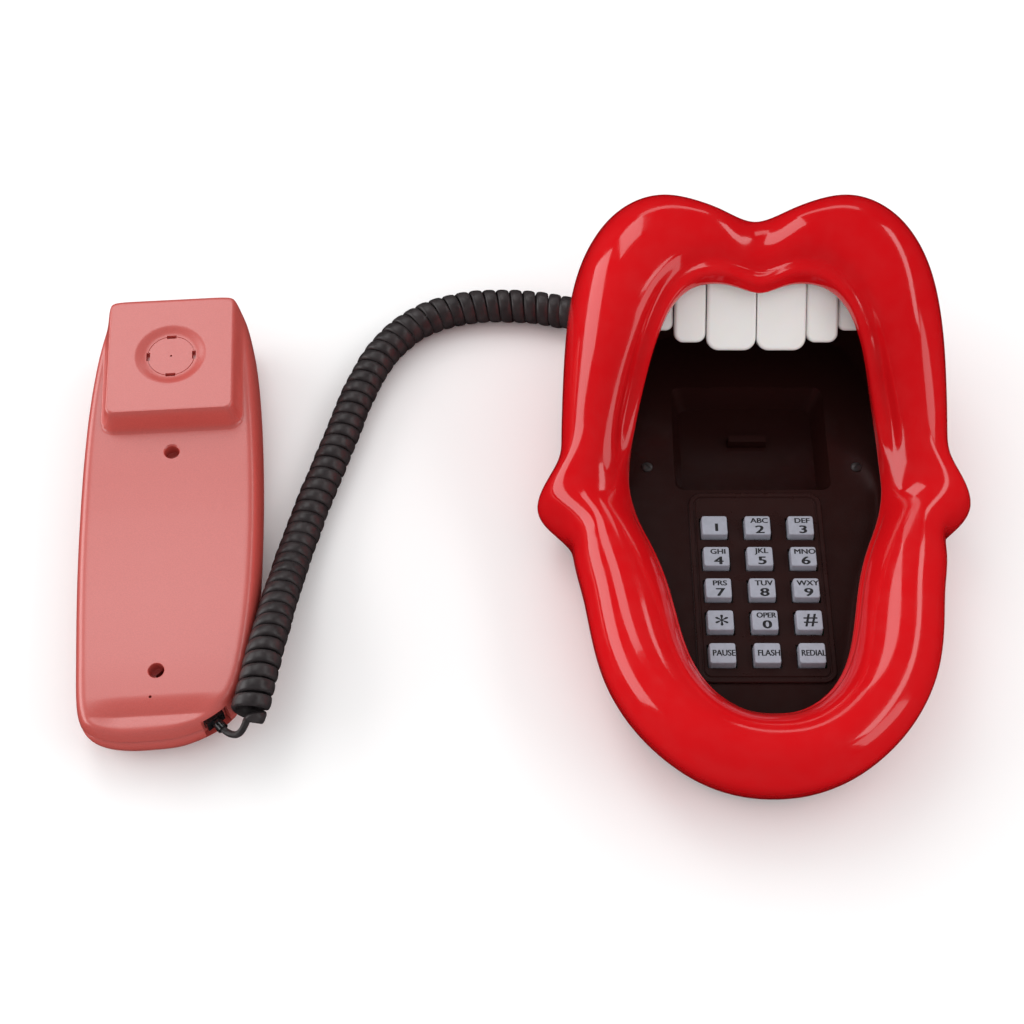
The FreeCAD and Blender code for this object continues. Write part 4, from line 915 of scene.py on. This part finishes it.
def patch(low, high, left, right):
    """Rows of points that fill the space between four sides."""
    across = (high[:, 0] - high[0, 0]) / (high[-1, 0] - high[0, 0])
    rows = []
    for share, start, end in zip(np.linspace(0, 1, len(left)), left, right):
        u = across[:, None]
        sides = (1 - u) * start + u * end
        corners = (1 - share) * ((1 - u) * low[0] + u * low[-1]) + share * ((1 - u) * high[0] + u * high[-1])
        rows.append((1 - share) * low + share * high + sides - corners)
    return rows


def face_columns(left, right):
    """Places across the face, fixed over the middle and drawn together towards the sides."""
    halves = []
    for width in (left, right):
        half = INNER_COLUMNS * min(1.0, (width - SIDE_ROOM) / INNER_COLUMNS[-1])
        halves.append(np.concatenate([half, half[-1] + OUTER_COLUMNS * (width - half[-1])]))
    return np.concatenate([-halves[0][:0:-1], halves[1]])


def end_patch(outline, corners, line, rows):
    """Rows of points from an end of the face, between its corners, to a line straight across it."""
    shares = (line[:, 0] - line[0, 0]) / (line[-1, 0] - line[0, 0])
    steps = np.linspace(0, 1, rows)
    sides = [between(outline, corner, end, steps) for corner, end in zip(corners, (line[0], line[-1]))]
    return patch(between(outline, *corners, shares), line, *sides)


def face_rows(outline):
    """Points of the face from the mouthpiece end to the ear end, in rows across it."""
    right = outline[outline[:, 0] > 0]
    left = outline[outline[:, 0] < 0]
    right, left = right[right[:, 1].argsort()], left[left[:, 1].argsort()]

    def row(y):
        x = face_columns(-np.interp(y, left[:, 1], left[:, 0]), np.interp(y, right[:, 1], right[:, 0]))
        return np.stack([x, np.full(len(x), y)], axis=1)

    near = end_patch(outline, NEAR_CORNERS, row(NEAR_ROW_Y), NEAR_ROWS)
    far = end_patch(outline, FAR_CORNERS, row(FAR_ROW_Y), FAR_ROWS)
    middle = [row(y) for y in np.arange(NEAR_ROW_Y + ROW_STEP, FAR_ROW_Y, ROW_STEP)]
    return np.array(near + middle + far[::-1])


def add_handset_cover(material):
    outline = joint_line(handset_outline())
    flat = face_rows(outline)
    x, y = flat[..., 0], flat[..., 1]
    edge = line_distance(x, y, outline)
    joint = joint_height(y) + JOINT_GAP
    edge[0] = edge[-1] = 0.0
    edge[:, 0] = edge[:, -1] = 0.0
    z = joint + (face_height(x, y) - joint) * shoulder(edge, y)
    rows, count = z.shape
    points = list(np.stack([x, y, z], axis=-1).reshape(-1, 3))
    faces = ring_faces(rows, count, closed=False)
    rim = (list(range(count)) + [r * count + count - 1 for r in range(1, rows)]
           + [(rows - 1) * count + n for n in range(count - 2, -1, -1)]
           + [r * count for r in range(rows - 2, 0, -1)])
    faces += fan(points, rim)
    piece = mesh_object("handset_face", [HANDSET_PLACE @ Vector(v) for v in points], faces, material)
    recalculate(piece)
    cut_away(piece, ear_cutters() + mouthpiece_cutters() + [jack_cutter("handset_jack")])
    sharpen_edges(piece, 38)
    declare(piece, "handset", "pink", "handset_cover")


def handset_lathe(name, x, y, z, profile, segments):
    """Solid of revolution that stands on a spot of the handset."""
    spot = HANDSET_PLACE @ Matrix.Translation((x, y, 0))
    return lathe(name, [(radius, z + height) for radius, height in profile], segments, spot)


def ear_cutters():
    """The dish in the ear block, the four slots in its disc's rim and the pinhole in the middle."""
    disc = EAR_TOP - DISC_DROP
    cutters = [handset_lathe("ear_dish", 0, EAR_Y, disc, EAR_DISH, 96)]
    for n in range(EAR_SLOTS):
        turn = Matrix.Rotation(2 * math.pi * n / EAR_SLOTS, 4, "Z")
        slot = Matrix.Translation((0, EAR_Y, 0)) @ turn @ Matrix.Translation((0, EAR_SLOT_RADIUS, disc))
        cutters.append(box_piece(f"ear_slot_{n}", EAR_SLOT_SIZE, HANDSET_PLACE @ slot))
    cutters.append(handset_lathe("ear_pinhole", 0, EAR_Y, disc, EAR_PINHOLE, 20))
    return cutters


def mouthpiece_cutters():
    """The two screw wells and the microphone's pinhole."""
    cutters = [handset_lathe("well", x, y, face, SCREW_WELL, 48) for x, y, face in WELLS]
    cutters.append(handset_lathe("mic_pinhole", MIC_X, MIC_Y, 0, MIC_PINHOLE, 20))
    return cutters


def add_handset_back(material):
    outline = handset_outline()
    low, high = outline.min(axis=0), outline.max(axis=0)
    middle = (low + high) / 2
    rings = []
    for inset, z in BACK_LEVELS:
        line = joint_line(outline, np.clip((z - RIM_FOOT_Z) / (BACK_LEVELS[0][1] - RIM_FOOT_Z), 0, 1))
        flat = middle + (line - middle) * (1 - 2 * inset / (high - low))
        heights = z * joint_height(flat[:, 1:]) / HANDSET_JOINT_Z
        rings.append(np.concatenate([flat, heights], axis=1))
    rings = np.array(rings)
    count = rings.shape[1]
    grid = np.array([clamped_samples(rings[:, n], BACK_ROWS) for n in range(count)]).transpose(1, 0, 2)
    points = list(grid.reshape(-1, 3))
    faces = ring_faces(BACK_ROWS, count)
    faces += fan(points, list(range(count)))
    faces.append(tuple((BACK_ROWS - 1) * count + n for n in reversed(range(count))))
    piece = mesh_object("handset_underside", [HANDSET_PLACE @ Vector(v) for v in points], faces, material)
    recalculate(piece)
    cut_away(piece, [jack_cutter("handset_jack")])
    sharpen_edges(piece, 38)
    declare(piece, "handset", "pink", "handset_back")


# ---- keypad bezel, hook and screws
BEZEL_CORNER = 5.0
# Section of the bezel's rim: inset from its edge, height above its underside.
BEZEL_RIM = [(0.0, 0.0), (0.0, 0.75), (0.25, 1.0), (1.5, 1.0), (1.75, 0.55), (2.3, 0.55), (2.55, 0.9)]
BEZEL_MARGIN = 0.35         # gap round each key
BEZEL_HOLE_DEPTH = 20.0
ARC_STEPS = 10
MOUTH_FLOOR_Z = 25.0
PANEL_SCREW_X = 41.0
PANEL_SCREW_Y = 6.0
# A panel screw as (radius, height) from the mouth floor, and the slot across its head.
PANEL_SCREW = [(0, -8.0), (1.2, -8.0), (1.2, 0), (2.1, 0), (2.1, 0.3), (1.9, 0.65), (1.2, 0.95), (0, 1.05)]
SCREW_SLOT_SIZE = (6.0, 0.5, 0.9)
SCREW_SLOT_Z = 1.1
SCREW_SLOT_TURN = 0.7
HOOK_ROUNDING = 0.45


def rounded_rectangle(low, high, radius):
    """Points round a rectangle with rounded corners."""
    left, right = low[0] + radius, high[0] - radius
    near, far = low[1] + radius, high[1] - radius
    corners = [((right, far), 0), ((left, far), 90), ((left, near), 180), ((right, near), 270)]
    points = []
    for (x, y), start in corners:
        for n in range(ARC_STEPS + 1):
            angle = math.radians(start + 90 * n / ARC_STEPS)
            points.append((x + radius * math.cos(angle), y + radius * math.sin(angle)))
    return points


def add_bezel(material):
    low, high = (corner / MM for corner in node_box("keypad_bezel"))
    vertices = []
    for inset, height in BEZEL_RIM:
        ring = rounded_rectangle((low.x + inset, low.y + inset), (high.x - inset, high.y - inset),
                                 BEZEL_CORNER - inset)
        vertices += [Vector((x, y, low.z + height)) * MM for x, y in ring]
    count = len(vertices) // len(BEZEL_RIM)
    faces = ring_faces(len(BEZEL_RIM), count)
    faces.append(tuple(reversed(range(count))))
    faces.append(tuple(len(vertices) - count + n for n in range(count)))
    bezel = mesh_object("bezel", vertices, faces, material)
    recalculate(bezel)
    hole = (KEY_CAP[0] + 2 * BEZEL_MARGIN, KEY_CAP[1] + 2 * BEZEL_MARGIN, BEZEL_HOLE_DEPTH)
    cut_away(bezel, [box_piece(node + "_hole", Vector(hole) * MM, Matrix.Translation(node_middle(node)))
                     for node in KEY_LABELS])
    sharpen_edges(bezel, 30)
    declare(bezel, "base", "bezel", "keypad_bezel")


def add_panel_screws(material):
    """Two small slotted screws in the mouth floor."""
    screws = []
    for side in (-1, 1):
        spot = BASE_PLACE @ Matrix.Translation((side * PANEL_SCREW_X, PANEL_SCREW_Y, 0))
        profile = [(radius, MOUTH_FLOOR_Z + height) for radius, height in PANEL_SCREW]
        screw = lathe(f"panel_screw_{side}", profile, 40, spot)
        turn = Matrix.Rotation(SCREW_SLOT_TURN * side, 4, "Z")
        slot = spot @ turn @ Matrix.Translation((0, 0, MOUTH_FLOOR_Z + SCREW_SLOT_Z))
        screws.append(cut_away(screw, [box_piece("screw_slot", SCREW_SLOT_SIZE, slot)]))
    pair = joined(screws, "panel_screw_pair", material)
    sharpen_edges(pair, 35)
    declare(pair, "base", "screws", "panel_screws")


def add_hook_spring(material):
    """The spring under the hook tab, in its CAD shape."""
    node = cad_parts["hook_spring"]
    vertices = [node.matrix_world @ vertex.co for vertex in node.data.vertices]
    faces = [tuple(face.vertices) for face in node.data.polygons]
    spring = mesh_object("hook_coil", vertices, faces, material)
    declare(spring, "base", "spring", "hook_spring")
    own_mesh(spring)


def round_edges(node, width):
    """Softens the sharp edges of a piece kept from the CAD."""
    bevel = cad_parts[node].modifiers.new("soft_edges", "BEVEL")
    bevel.width = width * MM
    bevel.segments = 3
    bevel.limit_method = "ANGLE"
    bevel.angle_limit = math.radians(50)


# ---- teeth
# Each pair from the middle outwards: width, how far it stands back, length, in the base's millimetres.
TEETH = [(19.2, 0.0, 21.5), (12.5, 1.0, 18.5), (10.0, 2.6, 14.0)]
TOOTH_THICKNESS = 6.0
TEETH_TOP = (55.0, 72.0)
TOOTH_TILT = 52.0
TOOTH_GAP = 0.25
TOOTH_ROOT = 5.5            # how far the teeth carry on up behind the lip
TOOTH_CORNER = 4.8          # of the lower corners, on a wide tooth
TOOTH_CORNER_SHARE = 0.30   # of the width, on a narrow one
TOOTH_ROUNDING = 1.5
SHARP_TURN = 1.2            # radians between faces, of the edges that are rounded so


def add_teeth(material):
    lean = Matrix.Rotation(-math.radians(TOOTH_TILT), 4, "X")
    place = BASE_PLACE @ Matrix.Translation((0, *TEETH_TOP)) @ lean
    reach = 0.0
    teeth = []
    for width, back, length in TEETH:
        for side in (-1, 1):
            middle = side * (reach + width / 2)
            teeth.append(tooth(middle, width - TOOTH_GAP, back, length, place))
        reach += width
    declare(joined(teeth, "teeth", material), "base", "teeth", "upper_teeth")


def tooth(middle, width, back, length, place):
    """A tooth as a slab with round lower corners and round edges."""
    work = block((width, TOOTH_THICKNESS, length + TOOTH_ROOT),
                 (middle, back + TOOTH_THICKNESS / 2, -(length - TOOTH_ROOT) / 2))
    corners = [e for e in work.edges if all(v.co.z < -length + 0.1 for v in e.verts)
               and abs(e.verts[0].co.y - e.verts[1].co.y) > 0.1]
    bevel(work, corners, min(TOOTH_CORNER, width * TOOTH_CORNER_SHARE), 9)
    edges = [e for e in work.edges if e.calc_face_angle(0) > SHARP_TURN]
    bevel(work, edges, TOOTH_ROUNDING, 6, profile=0.55, clamp_overlap=True)
    work.transform(place)
    return from_bmesh(work, "tooth")


# ---- keys and their print
KEY_LABELS = {"key_1": ("1", ""), "key_2": ("2", "ABC"), "key_3": ("3", "DEF"), "key_4": ("4", "GHI"),
              "key_5": ("5", "JKL"), "key_6": ("6", "MNO"), "key_7": ("7", "PRS"), "key_8": ("8", "TUV"),
              "key_9": ("9", "WXY"), "key_star": ("*", ""), "key_0": ("0", "OPER"), "key_hash": ("#", ""),
              "key_pause": ("", "PAUSE"), "key_flash": ("", "FLASH"), "key_redial": ("", "REDIAL")}
KEY_CAP = (10.3, 8.9)
KEY_TOP_SHRINK = 0.35
KEY_CORNER = 0.9
KEY_ROUNDING = 0.4
# How each kind of print looks: height, stretch across, how far its bold copies are shifted, and its spot
# from the middle of the cap.
SIGNS = {"*": (10.0, 1.15, 0.13, (0.4, -0.1)), "#": (7.4, 1.15, 0.13, (0.4, -0.1))}
LONE_DIGIT = (4.7, 1.5, 0.24, (0.7, -1.0))
DIGIT = (4.7, 1.5, 0.24, (0.7, -1.9))
LETTERS = (3.0, 1.16, 0.12, (0.6, 2.0))
MANY_LETTERS = (3.0, 1.0, 0.12, (0.6, 2.0))
WORD = (3.4, 0.88, 0.11, (0.5, 0.0))
LONG_WORD = (3.4, 0.82, 0.11, (0.5, 0.0))
PRINT_HEIGHT = 0.03
PRINT_GAP = 0.01            # from the cap's top to the middle of the print
COPY_GAP = 0.004            # from one bold copy up to the next


def add_key(node, material, ink):
    """A key's cap with its print."""
    low, high = node_box(node)
    middle = node_middle(node)
    height = (high.z - low.z) / MM
    work = block((*KEY_CAP, height))
    for vertex in work.verts:
        if vertex.co.z > 0:
            vertex.co.x -= math.copysign(KEY_TOP_SHRINK, vertex.co.x)
            vertex.co.y -= math.copysign(KEY_TOP_SHRINK, vertex.co.y)
    upright = [e for e in work.edges if abs(e.verts[0].co.z - e.verts[1].co.z) > 1]
    bevel(work, upright, KEY_CORNER, 5)
    rim = [e for e in work.edges if all(v.co.z > height / 2 - 0.01 for v in e.verts)]
    bevel(work, rim, KEY_ROUNDING, 3)
    work.transform(Matrix.Translation(middle) @ Matrix.Scale(MM, 4))
    cap = from_bmesh(work, node + "_cap", material)
    sharpen_edges(cap, 50)
    declare(cap, node, "keys", node)
    top = Vector((middle.x, middle.y, high.z + PRINT_GAP * MM))
    for ending, text, style in key_prints(*KEY_LABELS[node]):
        add_label(f"{node}_{ending}", text, style, top, node, ink)


def key_prints(digit, letters):
    """What is printed on a key: the ending of each piece's name, its characters and their style."""
    if digit in SIGNS:
        return [("sign", digit, SIGNS[digit])]
    if not digit:
        return [("word", letters, WORD if len(letters) < 6 else LONG_WORD)]
    if not letters:
        return [("digit", digit, LONE_DIGIT)]
    return [("digit", digit, DIGIT), ("letters", letters, LETTERS if len(letters) < 4 else MANY_LETTERS)]


def add_label(name, text, style, top, body, ink):
    """Printed characters as a thin mesh over the middle of a key's top, made bold by shifted copies."""
    height, stretch, weight, (right, up) = style
    data = bpy.data.curves.new(name, "FONT")
    data.body = text
    data.size = height * MM
    data.extrude = PRINT_HEIGHT / 2 * MM
    data.resolution_u = 4
    label = add_object(name + "_text", data)
    mesh = bpy.data.meshes.new_from_object(label)
    bpy.data.objects.remove(label, do_unlink=True)
    points = np.array([v.co for v in mesh.vertices])
    spot = (top.x + right * MM, top.y + up * MM, top.z)
    points = (points - (points.min(axis=0) + points.max(axis=0)) / 2) * (stretch, 1, 1) + spot
    outlines = [tuple(face.vertices) for face in mesh.polygons]
    vertices, faces = [], []
    for number, shift in enumerate((-weight, 0.0, weight)):
        first = len(vertices)
        offset = Vector((shift, 0.5 * abs(shift), COPY_GAP * number)) * MM
        vertices += [Vector(p) + offset for p in points]
        faces += [tuple(first + v for v in outline) for outline in outlines]
    piece = mesh_object(name, vertices, faces, ink)
    for face in piece.data.polygons:
        face.use_smooth = False
    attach(piece, body)


# ---- materials on the CAD's own pieces
def paint_nodes(material, *nodes):
    for node in nodes:
        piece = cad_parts[node]
        piece.data.materials.clear()
        piece.data.materials.append(material)


# ---- floor and lights
FLOOR_HALF_WIDTH = 3.0
WORLD_STRENGTH = 0.84
# Soft boxes in metres: size, energy, place and what they aim at.
BOXES = {"left_box": ((1.5, 0.8), 8.0, (-1.20, 0.16, 0.50), (0.05, 0.0, 0.03)),
         "right_box": ((1.5, 0.26), 2.8, (0.95, 0.15, 0.98), (0.05, 0.0, 0.03)),
         "front_box": ((0.5, 0.5), 1.0, (1.00, -0.45, 0.42), (0.05, 0.0, 0.03)),
         "top_box": ((0.9, 0.22), 0.8, (0.10, 1.25, 0.9), (0.05, 0.0, 0.03)),
         "pink_box": ((0.60, 0.95), 3.6, (-0.46, 0.85, 1.30), (-0.137, 0.0, 0.03))}


def add_floor():
    look = Looks("floor", roughness=0.9, specular_ior_level=0.1)
    look.colour(3.0, (0.93, 0.93, 0.93), (0.94, 0.94, 0.94))
    work = bmesh.new()
    bmesh.ops.create_grid(work, x_segments=1, y_segments=1, size=FLOOR_HALF_WIDTH)
    floor = from_bmesh(work, "floor", look.material)
    floor.visible_glossy = False


def add_world():
    """White light from all round, which shows in no reflection."""
    world = bpy.data.worlds.new("studio")
    world.use_nodes = True
    background = world.node_tree.nodes["Background"]
    background.inputs["Color"].default_value = (1.0, 1.0, 1.0, 1.0)
    background.inputs["Strength"].default_value = WORLD_STRENGTH
    world.cycles_visibility.glossy = False
    bpy.context.scene.world = world
    bpy.context.scene.view_settings.view_transform = "Standard"


def add_lights():
    for name, (size, energy, place, aim) in BOXES.items():
        data = bpy.data.lights.new(name, "AREA")
        data.shape = "RECTANGLE"
        data.size, data.size_y = size
        data.energy = energy
        light = add_object(name, data)
        light.location = place
        way = Vector(aim) - Vector(place)
        light.rotation_euler = way.to_track_quat("-Z", "Y").to_euler()


# ---- the whole scene
def build():
    add_camera()
    pink = pearl_pink()
    add_cord(cord_black())
    add_lips(gloss_red())
    paint_nodes(dark_brown(), "mouth_panel", "hook_plunger")
    round_edges("hook_plunger", HOOK_ROUNDING)
    # The bezel gets the mouth's brown made 1.15 times lighter: painted light on the lit keypad panel.
    add_bezel(dark_brown("bezel_brown_painted_lit", 1.15, 0.27))
    add_panel_screws(plain("dull_metal", (0.09, 0.085, 0.085), (0.13, 0.12, 0.12), 0.42, metallic=0.8))
    add_teeth(tooth_white())
    add_handset_cover(pink)
    add_handset_back(pink)
    paint_nodes(plug_black(), "base_plug", "handset_plug", "base_cord_jack", "line_jack")
    paint_nodes(pink, "handset_jack")
    paint_nodes(plain("base_black", (0.020, 0.019, 0.020), (0.030, 0.028, 0.029), 0.45),
                "base_plate", "hook_switch", "ringer", "ear_speaker")
    paint_nodes(plain("rubber", (0.022, 0.021, 0.021), (0.034, 0.032, 0.032), 0.78),
                "rubber_feet", "mic_boot")
    paint_nodes(plain("grey_rubber", (0.16, 0.16, 0.17), (0.20, 0.20, 0.21), 0.65), "keypad_membrane")
    paint_nodes(plain("foam", (0.03, 0.03, 0.03), (0.06, 0.06, 0.06), 0.90, scale=900.0), "ear_gasket")
    paint_nodes(plain("board_green", (0.015, 0.090, 0.030), (0.020, 0.120, 0.042), 0.38), "main_board")
    steel = plain("steel", (0.55, 0.54, 0.52), (0.66, 0.65, 0.63), 0.30, metallic=1.0)
    add_hook_spring(steel)
    paint_nodes(steel, "base_screws", "board_screws", "handset_screws", "mic_capsule", "ballast_weight",
                "handset_weight")
    caps, ink = key_grey(), key_print()
    for node in list(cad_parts):
        if node.startswith("key_"):
            add_key(node, caps, ink)
    add_floor()
    add_world()
    add_lights()


build()
